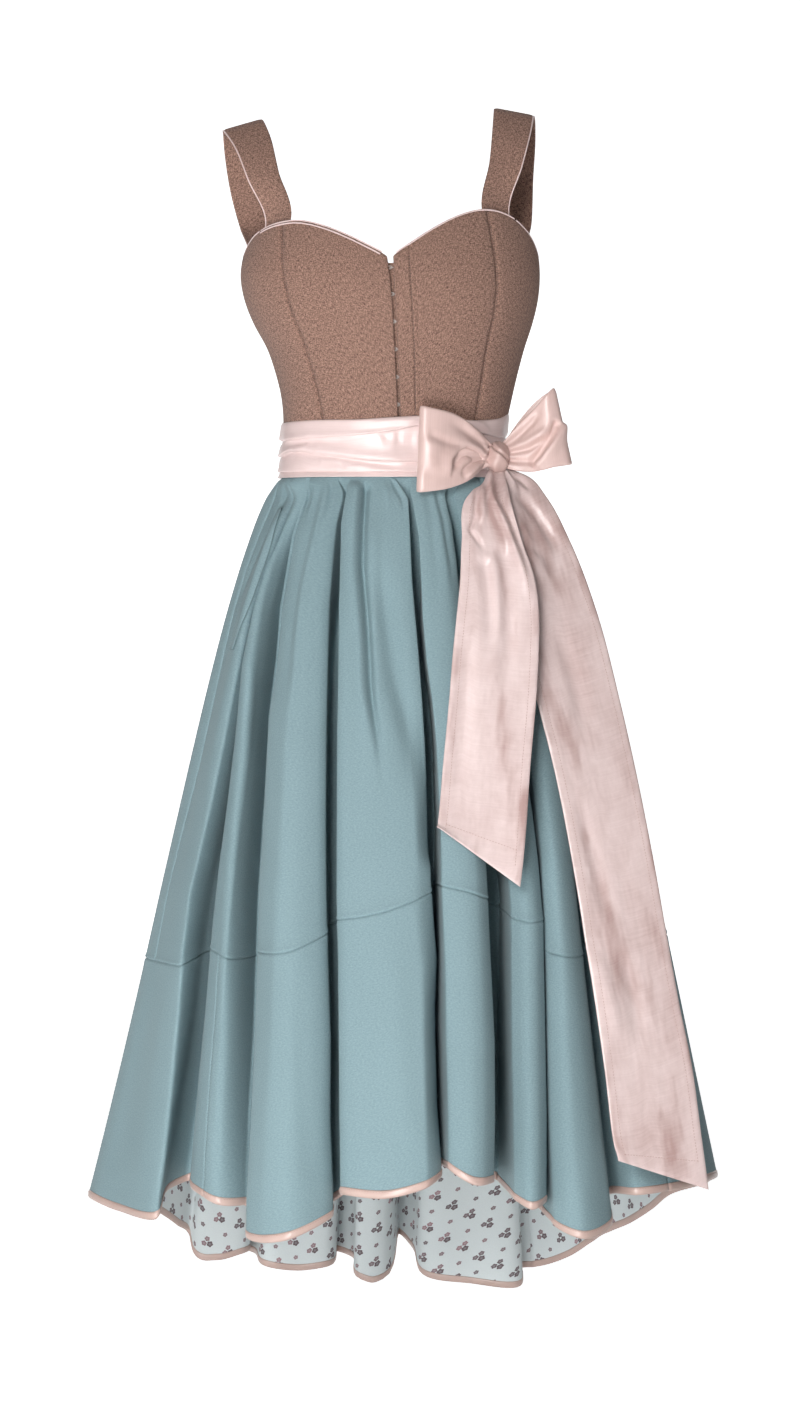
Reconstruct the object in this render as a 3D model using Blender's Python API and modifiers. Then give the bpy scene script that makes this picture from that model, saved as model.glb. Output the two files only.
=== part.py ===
"""Dirndl dress, filled out: bodice with straps, wrapped sash with bow, pleated skirt with a flounce.

Metres, +Z up. The front faces -Y and the origin is at shoulder level, midway between the armholes.
Angles go round the body: 0 is centre front, +90 the +X side, 180 centre back.
"""
import math

import bmesh
import bpy
import numpy as np

MM = 0.001
GAP = 0.3 * MM            # clearance at seams and between layers
SEAM_GAP = 0.7 * MM       # distance between neighbouring panels, on their outer faces
LAYER_GAP = 1.2 * MM      # between a curved wall and a layer inside it, facet to facet

BODICE_WALL = 1.6 * MM
PLACKET_WALL = 1.2 * MM
STRAP_WALL = 2.0 * MM
SKIRT_WALL = 1.5 * MM
LINING_WALL = 1.0 * MM
BINDING_WALL = 2.8 * MM
SATIN_WALL = 1.2 * MM
WELT_WALL = 1.0 * MM
WELT_WIDTH = 8 * MM
WELT_ROWS = (2, 3)
PIPING_RADIUS = 1.0 * MM
PIPING_LIFT = 0.7 * MM    # from the facets of a curved edge

WAIST_Z = -396 * MM       # waist seam at the sides
WAIST_DIP = 4 * MM        # the seam lies this much lower in front
WAIST_STAND = 6 * MM      # straight top of the skirt under the sash
BINDING_DEPTH = 10 * MM
DIAGONAL_FULLNESS = 0.03  # how far the body's section is squarer than an ellipse

# Body sections: half width, depth in front and depth behind, and sideways shift, at each height.
SECTIONS = [
    # z, half_width, front, back, shift
    (-410, 122, 86, 82, 0),
    (-370, 121, 86, 81, 0),
    (-340, 122, 89, 82, 2),
    (-310, 126, 94, 84, 4),
    (-280, 133, 101, 87, 4),
    (-254, 141, 108, 90, 3),
    (-226, 153, 114, 94, 0),
    (-200, 161, 117, 97, -2),
    (-176, 164, 115, 98, -3),
    (-146, 161, 108, 97, -2),
    (-110, 153, 96, 93, 0),
    (-80, 146, 84, 90, 0),
]

# Top edge of the bodice. Angle from centre front, height on the -X half and on the +X half.
TOP_EDGE = [
    # angle, z_left, z_right
    (0.0, -168, -168),
    (3.0, -162.5, -161.5),
    (9.0, -153.5, -149.5),
    (17.0, -142.5, -134.5),
    (26.0, -132.5, -121.5),
    (38.0, -124.5, -112.5),
    (53.0, -126, -117),
    (67.0, -135, -132),
    (84.0, -153, -152),
    (96.0, -154, -155),
    (112.0, -147, -147),
    (130.0, -150, -150),
    (155.0, -162, -162),
    (180.0, -166, -166),
]

# Seams that run down the bodice: angle at the bust and at the waist.
SEAMS = {
    "princess": (44, 39),
    "side": (96, 96),
    "back": (146, 152),
    "centre_back": (180, 180),
}
SEAM_BEND_Z = -200 * MM   # the seams run straight down above this height
# Edges of the centre-front opening, x at the top and at the waist.
OPENING_LEFT = (-5.4, 4.6)
OPENING_RIGHT = (-1.4, 6.8)
OPENING_TOP = -165 * MM
OPENING_LENGTH = 225 * MM
PLACKET_HALF_WIDTH = 13
PLACKET_TOP = -172 * MM
PLACKET_BOTTOM = WAIST_Z + 8 * MM
PLACKET_ROWS = 9
PLACKET_COLUMNS = 5
BODICE_ROWS = 10
STRAP_ROWS = 20
STRAP_FOOT_DEPTHS = (-16, -6, 5)  # from the bodice's edge, negative is below it

# Shoulder straps, between the front foot and the back foot that lie inside the bodice.
STRAPS = {
    "left": {
        "sign": -1, "front_foot": (45, 61), "back_foot": (120, 98),
        # x_inner, x_outer, y, z_inner, z_outer
        "path": [
            (-125, -157, -50, -66, -74),
            (-135, -173, -28, -24, -34),
            (-144, -186, -6, -2, -14),
            (-145, -187, 16, -2, -14),
            (-141, -186, 38, -24, -34),
            (-136, -180, 48, -66, -74),
            (-134, -169, 50, -112, -116),
        ],
    },
    "right": {
        "sign": 1, "front_foot": (39, 54), "back_foot": (132, 110),
        "path": [
            (106, 140, -50, -54, -59),
            (110, 150, -28, -12, -19),
            (112, 154, -6, 10, 2),
            (113, 156, 16, 10, 2),
            (114, 157, 38, -12, -19),
            (115, 155, 50, -54, -59),
            (117, 153, 50, -106, -110),
        ],
    },
}

# Skirt folds, once round from the -X side across the front. Each fold is a run of cloth between two points
# of the hem, bowed out by its bow, and a turn after it, where the cloth goes back in or, behind, out.
FOLD_COLUMNS = ("name", "x1", "y1", "x2", "y2", "z", "bow", "turn_x", "turn_y", "turn_z", "waist", "spread")
FOLDS = [
    ("side_left", -334, -20, -257, -170, -1188, 16, -231, -75, -1168, -60, 0.70),
    ("front_a", -206, -190, -170, -208, -1166, 8, -158, -184, -1164, -44, 0.48),
    ("front_b", -147, -250, -68, -285, -1190, 30, -46, -232, -1159, -25, 0.37),
    ("front_c", -55, -268, 48, -294, -1142, 24, 57, -248, -1124, 4, 0.35),
    ("front_d", 64, -268, 104, -262, -1135, 18, 118, -172, -1116, 33, 0.38),
    ("front_e", 127, -228, 153, -226, -1167, 14, 163, -190, -1156, 48, 0.46),
    ("front_f", 174, -222, 228, -200, -1194, 18, 232, -122, -1166, 66, 0.50),
    ("side_right", 262, -148, 350, -36, -1168, 18, 356, 36, -1174, 97, 0.51),
    ("back_a", 314, 116, 272, 196, -1226, -8, 258, 252, -1254, 118, 0.58),
    ("back_b", 230, 254, 176, 272, -1298, -6, 158, 314, -1296, 137, 0.56),
    ("back_c", 136, 274, 42, 282, -1325, -10, 8, 334, -1262, 166, 0.52),
    ("back_d", -14, 292, -40, 292, -1328, -4, -66, 330, -1292, 187, 0.52),
    ("back_e", -100, 292, -166, 274, -1310, -8, -192, 302, -1286, 212, 0.56),
    ("back_f", -214, 250, -240, 228, -1284, -4, -268, 222, -1246, 237, 0.60),
    ("back_g", -284, 158, -304, 100, -1222, -6, -334, 52, -1192, 262, 0.70),
]
RUN_SHARES = (0.2, 0.5, 0.8)      # where a run's three points lie between two turns, at the waist
COLUMNS_PER_SPAN = 2
PER_FOLD = 4 * COLUMNS_PER_SPAN
DEPTH_SPREAD = 0.84               # how soon the depth grows, going down
SPREAD_GROWTH = 0.36              # how much straighter the sides run near the hem
UPPER_ROWS = 7
UPPER_CROWDING = 1.25             # rows lie closer together near the waist
FLOUNCE_ROWS = 4
SEAM_SHARE_FRONT = 0.598          # height of the flounce seam, as a share of the way down
SEAM_SHARE_GROWTH = 0.062
SEAM_SHARE_MOST = 0.66
SEAM_HIGHEST_ANGLE = 10           # where the seam is nearest to the waist
# Columns at which panels meet. A fold's columns start at its number in the table times PER_FOLD.
SIDE_SEAMS = (2, 7 * PER_FOLD + 4)
BACK_SEAM = 11 * PER_FOLD
FLOUNCE_SEAMS = (6, 7 * PER_FOLD + 1, 9 * PER_FOLD + 5)
WELT_COLUMNS = {"left": 3, "right": 7 * PER_FOLD + 3}

# Sash: height of each fold line and how far the cloth stands out there.
SASH_PROFILE = [
    # share_down, stand_out
    (0.00, 2.4), (0.08, 3.7), (0.24, 3.8), (0.29, 2.3), (0.40, 3.9),
    (0.56, 2.3), (0.68, 4.1), (0.88, 2.4), (1.00, 3.0),
]
SASH_TOP = -334 * MM
SASH_COLUMNS = 46
SASH_WAVES = ((3, 0.030, 0.4), (7, 0.012, 1.9))   # count round, share of height, phase
SASH_STAND_OUT = 4.5 * MM

KNOT_CENTRE = (113, -61.9, -378)
KNOT_HALF = (13, 12, 17)
KNOT_RIDGE = 0.04

# Bow loops: from the knot along the front, round the end and back behind, with both edges of the band.
LOOPS = {
    "left": [
        # x_low, x_high, y, z_low, z_high
        (112, 112, -67, -386, -369),
        (99, 99, -80, -391, -356),
        (86, 86, -92, -402, -345),
        (66, 66, -104, -411, -334),
        (44, 44, -113, -415, -329),
        (32, 32, -113, -415, -326),
        (29, 29, -109, -413, -326),
        (34, 34, -105, -410, -328),
        (52, 52, -101, -404, -334),
        (78, 78, -92, -394, -348),
        (95, 95, -77, -387, -362),
        (110, 110, -58, -385, -370),
    ],
    "right": [
        (115, 115, -66, -388, -366),
        (138, 136, -70, -393, -338),
        (158, 153, -75, -393, -318),
        (178, 166, -77, -388, -304),
        (191, 174, -73, -386, -303),
        (194, 177, -67, -385, -309),
        (186, 172, -60, -386, -315),
        (170, 165, -57, -388, -318),
        (148, 148, -56, -388, -334),
        (116, 116, -57, -385, -369),
    ],
}
LOOP_COLUMNS = 22
LOOP_ROWS = 5

# Tails: the two edges at each height. They hang outside the skirt, turned by their slope.
TAILS = {
    "short": {
        "slope": 0.10, "clear": 4, "root_y": -66,
        # x1, z1, x2, z2
        "rows": [
            (106, -389, 118, -389), (99, -401, 122, -403), (79, -424, 126, -426), (74, -470, 138, -470), (72, -514, 151, -512),
            (68, -553, 155, -552), (64, -592, 154, -592), (60, -640, 151, -640), (53, -712, 144, -712),
            (48, -766, 139, -778), (47, -772, 133, -835),
        ],
    },
    "long": {
        "slope": 0.40, "clear": 3, "root_y": -58,
        "rows": [
            (109, -387, 122, -387), (110, -401, 148, -398), (112, -424, 166, -420),
            (114, -474, 192, -470), (130, -552, 220, -546), (154, -642, 243, -638),
            (170, -706, 257, -702), (193, -828, 280, -824), (206, -914, 294, -910),
            (214, -966, 303, -962), (223, -1032, 316, -1028), (232, -1106, 326, -1106),
            (236, -1121, 333, -1156),
        ],
    },
}
TAIL_COLUMNS = 5
TAIL_ROWS = 20
TAIL_REACH = 26 * MM              # a tail is kept clear of any cloth within this distance sideways
TAIL_REACH_DOWN = 34 * MM


def interpolate(x, knots, values):
    """Smooth curve through a table's points; x may be an array."""
    knots, values = np.asarray(knots, float), np.asarray(values, float)
    slopes = np.gradient(values, knots, axis=0)
    x = np.clip(x, knots[0], knots[-1])
    i = np.clip(np.searchsorted(knots, x, side="right") - 1, 0, len(knots) - 2)
    width = knots[i + 1] - knots[i]
    t = (x - knots[i]) / width
    if values.ndim > 1 and np.ndim(x):
        t, width = t[:, None], width[:, None]
    return ((2 * t**3 - 3 * t**2 + 1) * values[i] + (t**3 - 2 * t**2 + t) * width * slopes[i]
            + (3 * t**2 - 2 * t**3) * values[i + 1] + (t**3 - t**2) * width * slopes[i + 1])


def along(points, count):
    """count points, evenly spaced by chord, on a smooth curve through the given ones."""
    points = np.asarray(points, float)
    reach = np.concatenate([[0], np.cumsum(np.linalg.norm(np.diff(points[:, :3], axis=0), axis=1))])
    return interpolate(np.linspace(0, reach[-1], count), reach, points)


def body_point(angle, z):
    """Point of the body's outer face. Angle in degrees, z in metres."""
    table = np.array(SECTIONS, float) * MM
    half_width, front, back, shift = interpolate(z, table[:, 0], table[:, 1:])
    a = math.radians(angle)
    fuller = 1 + DIAGONAL_FULLNESS * math.sin(2 * a) ** 2
    depth = front if math.cos(a) > 0 else back
    return np.array([half_width * math.sin(a) * fuller + shift, -depth * math.cos(a) * fuller, z])


def body_outward(angle, z):
    step = 0.5
    round_ = body_point(angle + step, z) - body_point(angle - step, z)
    down = body_point(angle, z - 1 * MM) - body_point(angle, z + 1 * MM)
    normal = np.cross(down, round_)
    return normal / np.linalg.norm(normal)


def body_angle(x, z):
    """Angle of the front point whose x is given."""
    table = np.array(SECTIONS, float) * MM
    half_width, _, _, shift = interpolate(z, table[:, 0], table[:, 1:])
    return math.degrees(math.asin((x - shift) / half_width))


def top_edge(angle):
    a = (angle + 180) % 360 - 180
    table = np.array(TOP_EDGE, float)
    column = 2 if a > 0 else 1
    return float(interpolate(abs(a), table[:, 0], table[:, column])) * MM


def waist_z(angle):
    return WAIST_Z - WAIST_DIP * math.cos(math.radians(angle))


def make_material(name, colour, roughness, metallic=0.0):
    material = bpy.data.materials.new(name)
    material.use_nodes = True
    shader = material.node_tree.nodes["Principled BSDF"]
    shader.inputs["Base Color"].default_value = (*colour, 1)
    shader.inputs["Roughness"].default_value = roughness
    shader.inputs["Metallic"].default_value = metallic
    material.diffuse_color = (*colour, 1)
    return material


def add_object(name, mesh, material, collection):
    mesh.materials.append(material)
    obj = bpy.data.objects.new(name, mesh)
    collection.objects.link(obj)
    return obj


def grid_mesh(name, layers, ring):
    """Mesh of one open grid, or of a closed wall between an outer and an inner grid."""
    rows, columns = layers[0].shape[:2]
    bm = bmesh.new()
    verts = [[[bm.verts.new(point) for point in row] for row in layer] for layer in layers]
    pairs = [(j, (j + 1) % columns) for j in range(columns if ring else columns - 1)]
    for layer, faces_out in zip(verts, (True, False)):
        for i in range(rows - 1):
            for j, k in pairs:
                a, b, c, d = layer[i][j], layer[i + 1][j], layer[i + 1][k], layer[i][k]
                for corners in ((a, b, c), (a, c, d)):
                    bm.faces.new(corners if faces_out else corners[::-1])
    if len(layers) == 2:
        outer, inner = verts
        rims = []
        for j, k in pairs:
            rims.append((outer[0][j], outer[0][k], inner[0][k], inner[0][j]))
            rims.append((outer[-1][k], outer[-1][j], inner[-1][j], inner[-1][k]))
        if not ring:
            for i in range(rows - 1):
                rims.append((outer[i + 1][0], outer[i][0], inner[i][0], inner[i + 1][0]))
                rims.append((outer[i][-1], outer[i + 1][-1], inner[i + 1][-1], inner[i][-1]))
        for rim in rims:
            bm.faces.new(rim)
    mesh = bpy.data.meshes.new(name)
    bm.to_mesh(mesh)
    bm.free()
    mesh.shade_smooth()
    return mesh


def panel(name, outer, normals, wall, material, collection, ring=False):
    """Wall of cloth under an outer grid, as a loft. Its edges follow the shared normals, so that two panels
    keep an even gap at their seam. Rows go down, and columns go with the angle."""
    outer = np.asarray(outer, float)
    inner = outer - np.asarray(normals, float) * wall
    return add_object(name, grid_mesh(name, (outer, inner), ring), material, collection)


def strip(name, grid, wall, material, collection):
    """Free strip of cloth, whose outer face is the grid."""
    obj = add_object(name, grid_mesh(name, (np.asarray(grid, float),), False), material, collection)
    solidify = obj.modifiers.new("wall", "SOLIDIFY")
    solidify.thickness = wall
    solidify.offset = -1
    return obj


def bodice_panel(name, edge_1, edge_2, columns, material, collection):
    """Panel between two seams, each a function that gives the angle at a height."""
    grid, normals = [], []
    for i in range(BODICE_ROWS + 1):
        share = i / BODICE_ROWS
        angles = []
        for j in range(columns + 1):
            across = j / columns
            z = top_edge(edge_1(SECTIONS[-2][0] * MM) * (1 - across) + edge_2(SECTIONS[-2][0] * MM) * across)
            for _ in range(3):
                angle = edge_1(z) * (1 - across) + edge_2(z) * across
                top = top_edge(angle)
                bottom = waist_z(angle) + WAIST_STAND + SEAM_GAP
                z = top + (bottom - top) * share
            angles.append((angle, z))
        grid.append([body_point(*place) for place in angles])
        normals.append([body_outward(*place) for place in angles])
    return panel(name, grid, normals, BODICE_WALL, material, collection)


def seam_angle(name, side, clearance):
    """Angle of a bodice seam as a function of the height, moved by half a seam gap."""
    bust, waist = SEAMS[name]

    def angle(z):
        share = min(max((SEAM_BEND_Z - z) / (SEAM_BEND_Z - WAIST_Z), 0), 1)
        seam = side * (bust + (waist - bust) * share)
        degree = np.linalg.norm(body_point(seam + 0.5, z) - body_point(seam - 0.5, z))
        return seam + clearance * SEAM_GAP / 2 / degree
    return angle


def opening_angle(edge):
    def angle(z):
        share = min(max((OPENING_TOP - z) / OPENING_LENGTH, 0), 1)
        return body_angle((edge[0] + (edge[1] - edge[0]) * share) * MM, z)
    return angle


def make_bodice(material, collection):
    left, right = -1, 1
    for side, word in ((left, "left"), (right, "right")):
        opening = opening_angle(OPENING_LEFT if side == left else OPENING_RIGHT)
        # Seams in the order that the angle grows, so that every panel faces outwards.
        spans = [
            ("bodice_front_centre_" + word, opening, "princess", 8),
            ("bodice_front_side_" + word, "princess", "side", 8),
            ("bodice_back_side_" + word, "side", "back", 7),
            ("bodice_back_centre_" + word, "back", "centre_back", 5),
        ]
        for name, inner, outer, columns in spans:
            first = inner if callable(inner) else seam_angle(inner, side, side)
            last = seam_angle(outer, side, -side)
            edges = (first, last) if side == right else (last, first)
            bodice_panel(name, *edges, columns, material, collection)
    make_placket(material, collection)


def make_placket(material, collection):
    inset = BODICE_WALL + LAYER_GAP
    grid, normals = [], []
    for share in np.linspace(0, 1, PLACKET_ROWS):
        z = PLACKET_TOP + (PLACKET_BOTTOM - PLACKET_TOP) * share
        middle = (OPENING_LEFT[0] + (OPENING_RIGHT[1] - OPENING_LEFT[0]) * share) * MM
        offsets = np.linspace(-PLACKET_HALF_WIDTH, PLACKET_HALF_WIDTH, PLACKET_COLUMNS) * MM
        angles = [body_angle(middle + offset, z) for offset in offsets]
        normals.append([body_outward(angle, z) for angle in angles])
        grid.append([body_point(angle, z) - body_outward(angle, z) * inset for angle in angles])
    panel("bodice_under_placket", grid, normals, PLACKET_WALL, material, collection)


def strap_foot(side, angles, down):
    """Edge pair of a strap's end, against the inside of the bodice wall."""
    edges = []
    for angle in angles:
        z = top_edge(side * angle) + down
        inward = body_outward(side * angle, z) * (BODICE_WALL + LAYER_GAP)
        edges.append(body_point(side * angle, z) - inward)
    return edges


def make_straps(material, collection):
    for word, strap in STRAPS.items():
        side = strap["sign"]
        pairs = [strap_foot(side, strap["front_foot"], d * MM) for d in STRAP_FOOT_DEPTHS]
        for x_inner, x_outer, y, z_inner, z_outer in strap["path"]:
            pairs.append((np.array([x_inner, y, z_inner]) * MM, np.array([x_outer, y, z_outer]) * MM))
        pairs += [strap_foot(side, strap["back_foot"], d * MM) for d in STRAP_FOOT_DEPTHS[::-1]]
        flat = np.array([np.concatenate(pair) for pair in pairs])
        smooth = along(flat, STRAP_ROWS)
        grid = []
        for row in smooth:
            inner, outer = row[:3], row[3:]
            across = [inner + (outer - inner) * share for share in (0, 1 / 3, 2 / 3, 1)]
            grid.append(across if side == 1 else across[::-1])
        # The rows run up the front and over to the back, so the columns are turned to face out.
        strip("strap_" + word, [row[::-1] for row in grid], STRAP_WALL, material, collection)


def tube(name, points, radius, material, collection):
    curve = bpy.data.curves.new(name, "CURVE")
    curve.dimensions = "3D"
    curve.bevel_depth = radius
    curve.bevel_resolution = 1
    curve.use_fill_caps = True
    spline = curve.splines.new("POLY")
    spline.points.add(len(points) - 1)
    for target, point in zip(spline.points, points):
        target.co = (*point, 1)
    return add_object(name, curve, material, collection)


def edge_line(first, last, count):
    """Line just above the bodice's top edge, midway through the wall."""
    line = []
    for angle in np.linspace(first, last, count):
        z = top_edge(angle)
        outward = body_outward(angle, z)
        edge = body_point(angle + 0.5, top_edge(angle + 0.5)) - body_point(angle - 0.5, top_edge(angle - 0.5))
        above = np.cross(outward, edge)
        above *= math.copysign(1, above[2]) / np.linalg.norm(above)
        line.append(body_point(angle, z) - outward * BODICE_WALL / 2 + above * (PIPING_RADIUS + PIPING_LIFT))
    return line


def make_piping(material, collection):
    runs = {
        "piping_neck_left": (-62, -3.4, 19),
        "piping_neck_right": (2.6, 56, 19),
        "piping_armhole_left": (-100, -63.5, 14),
        "piping_armhole_right": (57.5, 108, 16),
        "piping_back": (110, 258, 22),
    }
    for name, (first, last, count) in runs.items():
        tube(name, edge_line(first, last, count), PIPING_RADIUS, material, collection)


def hem_turns():
    """Points of the hem, with the waist angle and the spread that each column follows."""
    folds = [dict(zip(FOLD_COLUMNS, row)) for row in FOLDS]
    turns = []
    before = folds[-1]["waist"] - 360
    for fold in folds:
        start = np.array([fold["x1"], fold["y1"]])
        end = np.array([fold["x2"], fold["y2"]])
        middle = (start + end) / 2
        outward = middle / np.linalg.norm(middle)
        middle = middle + outward * fold["bow"]
        for point, share in zip((start, middle, end), RUN_SHARES):
            waist = before + (fold["waist"] - before) * share
            turns.append((*point * MM, fold["z"] * MM, waist, fold["spread"]))
        turns.append((fold["turn_x"] * MM, fold["turn_y"] * MM, fold["turn_z"] * MM,
                      fold["waist"], fold["spread"]))
        before = fold["waist"]
    return turns


def hem_columns():
    """Every column of the skirt, as x, y and z at the hem, waist angle and spread."""
    turns = np.array(hem_turns())
    count = len(turns)
    wrapped = np.concatenate([turns[-3:], turns, turns[:4]])
    wrapped[:3, 3] -= 360
    wrapped[count + 3:, 3] += 360
    reach = np.concatenate([[0], np.cumsum(np.linalg.norm(np.diff(wrapped[:, :2], axis=0), axis=1))])
    columns = []
    for i in range(3, count + 3):
        for step in range(COLUMNS_PER_SPAN):
            x = reach[i] + (reach[i + 1] - reach[i]) * step / COLUMNS_PER_SPAN
            columns.append(interpolate(x, reach, wrapped))
    return np.array(columns)


def seam_share(waist):
    growth = SEAM_SHARE_GROWTH * (1 - math.cos(math.radians(waist - SEAM_HIGHEST_ANGLE)))
    return min(SEAM_SHARE_FRONT + growth, SEAM_SHARE_MOST)


def skirt_point(column, share):
    """Point of the skirt's outer face, share of the way from the waist to the hem."""
    x, y, z, waist, spread = column
    top_z = waist_z(waist)
    top = body_point(waist, top_z)
    out, deep = share ** (spread * (1 + SPREAD_GROWTH * share)), share ** DEPTH_SPREAD
    return np.array([top[0] + (x - top[0]) * out, top[1] + (y - top[1]) * deep, top_z + (z - top_z) * share])


def skirt_shares(column):
    """Shares of the way down at every row: the stand, the upper skirt, the flounce and the binding."""
    seam = seam_share(column[3])
    edge = 1 - BINDING_DEPTH / abs(column[2] - waist_z(column[3]))
    upper = [seam * (i / UPPER_ROWS) ** UPPER_CROWDING for i in range(UPPER_ROWS + 1)]
    lower = [seam + (edge - seam) * i / FLOUNCE_ROWS for i in range(1, FLOUNCE_ROWS + 1)]
    return upper + lower + [1]


def unit(vectors):
    return vectors / np.linalg.norm(vectors, axis=-1, keepdims=True)


def skirt_surface():
    """Outer points of the whole skirt, row by row, and its outward normals."""
    lines = []
    for column in hem_columns():
        stand = body_point(column[3], waist_z(column[3])) + np.array([0, 0, WAIST_STAND])
        lines.append([stand] + [skirt_point(column, share) for share in skirt_shares(column)])
    points = np.swapaxes(np.array(lines), 0, 1)
    ahead = unit(np.roll(points, -1, axis=1) - points)
    below = unit(np.diff(points, axis=0))
    below = np.concatenate([below[:1], below[:-1] + below[1:], below[-1:]])
    return points, unit(np.cross(below, ahead + np.roll(ahead, 1, axis=1)))


def cut_out(points, normals, rows, columns):
    """Points and normals of one panel, whose edges stand back by half a seam gap."""
    numbers = np.arange(columns[0], columns[1] + 1) % points.shape[1]
    outer = points[rows[0]:rows[1] + 1][:, numbers].copy()
    turned = normals[rows[0]:rows[1] + 1][:, numbers]
    for axis in (0, 1):
        for end, neighbour in ((0, 1), (-1, -2)):
            edge, inside = outer.take(end, axis), outer.take(neighbour, axis)
            index = (end, slice(None)) if axis == 0 else (slice(None), end)
            outer[index] = edge + unit(inside - edge) * SEAM_GAP / 2
    return outer, turned


def make_skirt(points, normals, materials, collection):
    count = points.shape[1]
    teal, satin, print_ = materials
    seam_row = UPPER_ROWS + 1
    edge_row = seam_row + FLOUNCE_ROWS
    upper = {
        "skirt_front": SIDE_SEAMS,
        "skirt_back_right": (SIDE_SEAMS[1], BACK_SEAM),
        "skirt_back_left": (BACK_SEAM, count + SIDE_SEAMS[0]),
    }
    for name, span in upper.items():
        outer, turned = cut_out(points, normals, (0, seam_row), span)
        panel(name, outer, turned, SKIRT_WALL, teal, collection)

    lower = {
        "front": FLOUNCE_SEAMS[:2],
        "back_right": FLOUNCE_SEAMS[1:],
        "back_left": (FLOUNCE_SEAMS[2], count + FLOUNCE_SEAMS[0]),
    }
    for word, span in lower.items():
        outer, turned = cut_out(points, normals, (seam_row, edge_row), span)
        panel("flounce_" + word, outer, turned, SKIRT_WALL, teal, collection)
        if word != "front":
            inner = outer - turned * (SKIRT_WALL + GAP)
            panel("lining_" + word, inner, turned, LINING_WALL, print_, collection)
        outer, turned = cut_out(points, normals, (edge_row, edge_row + 1), span)
        panel("hem_binding_" + word, outer, turned, BINDING_WALL, satin, collection)
    for word, column in WELT_COLUMNS.items():
        make_welt("pocket_welt_" + word, points, normals, column, teal, collection)


def facet_point(points, row, column, across, down):
    """Point on one quad of the skirt, which is split from its upper left to its lower right corner."""
    a, b = points[row, column], points[row + 1, column]
    c, d = points[row + 1, column + 1], points[row, column + 1]
    if down < across:
        return a + (d - a) * (across - down) + (c - a) * down
    return a + (b - a) * (down - across) + (c - a) * across


def make_welt(name, points, normals, column, material, collection):
    """Narrow pocket welt that lies flat on the skirt's facets."""
    strip_width = np.linalg.norm(points[WELT_ROWS[0], column + 1] - points[WELT_ROWS[0], column])
    left, right = 0.5 - WELT_WIDTH / 2 / strip_width, 0.5 + WELT_WIDTH / 2 / strip_width
    normal = unit(sum(normals[row, column] + normals[row, column + 1] for row in WELT_ROWS))
    places = [(row, down) for row in WELT_ROWS for down in (0, left, right)] + [(WELT_ROWS[-1], 1)]
    grid = [[facet_point(points, row, column, across, down) for across in (left, right)]
            for row, down in places]
    raised = np.array(grid) + normal * (2 * GAP + WELT_WALL)
    panel(name, raised, np.broadcast_to(normal, raised.shape), WELT_WALL, material, collection)


def make_sash_band(material, collection):
    grid, normals = [], []
    for share, stand_out in SASH_PROFILE:
        row, outward = [], []
        for j in range(SASH_COLUMNS):
            angle = 360 * j / SASH_COLUMNS - 180
            a = math.radians(angle)
            wave = sum(size * math.sin(count * a + phase) for count, size, phase in SASH_WAVES)
            level = share + wave * math.sin(math.pi * share)
            top, bottom = SASH_TOP - WAIST_DIP * math.cos(a), waist_z(angle)
            z = top + (bottom - top) * level
            outward.append(body_outward(angle, z))
            row.append(body_point(angle, z) + outward[-1] * stand_out * MM)
        grid.append(row)
        normals.append(outward)
    panel("sash_band", grid, normals, SATIN_WALL, material, collection, ring=True)


def ellipsoid(name, grow, material, collection):
    bm = bmesh.new()
    bmesh.ops.create_uvsphere(bm, u_segments=18, v_segments=12, radius=1)
    half = np.array(KNOT_HALF) * MM + grow
    for vert in bm.verts:
        x, y, z = vert.co
        turn = math.sin(3 * math.atan2(x, -y) + 5 * z) if grow == 0 else 1
        ridge = 1 + KNOT_RIDGE * turn
        vert.co = [c * MM + p * h * ridge for c, p, h in zip(KNOT_CENTRE, (x, y, z), half)]
    mesh = bpy.data.meshes.new(name)
    bm.to_mesh(mesh)
    bm.free()
    mesh.shade_smooth()
    return add_object(name, mesh, material, collection)


def cut_by(obj, cutter):
    boolean = obj.modifiers.new("clearance", "BOOLEAN")
    boolean.operation = "DIFFERENCE"
    boolean.object = cutter
    return boolean


def make_loops(material, collection, cutter):
    for word, rows in LOOPS.items():
        edges = [((x_low + x_high) / 2, y, (low + high) / 2, x_low, x_high, low, high)
                 for x_low, x_high, y, low, high in rows]
        path = along(np.array(edges) * MM, LOOP_COLUMNS)
        grid = []
        for share in np.linspace(0, 1, LOOP_ROWS):
            grid.append([(x_high + (x_low - x_high) * share, y, high + (low - high) * share)
                         for _, y, _, x_low, x_high, low, high in path])
        if word == "left":
            grid = [row[::-1] for row in grid]
        loop = strip("bow_loop_" + word, grid, SATIN_WALL, material, collection)
        cut_by(loop, cutter)


def front_of(points, x, z):
    """Foremost y of the cloth near a place, seen from the front."""
    near = (np.abs(points[:, 0] - x) < TAIL_REACH) & (np.abs(points[:, 2] - z) < TAIL_REACH_DOWN)
    return points[near, 1].min() if near.any() else np.nan


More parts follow.
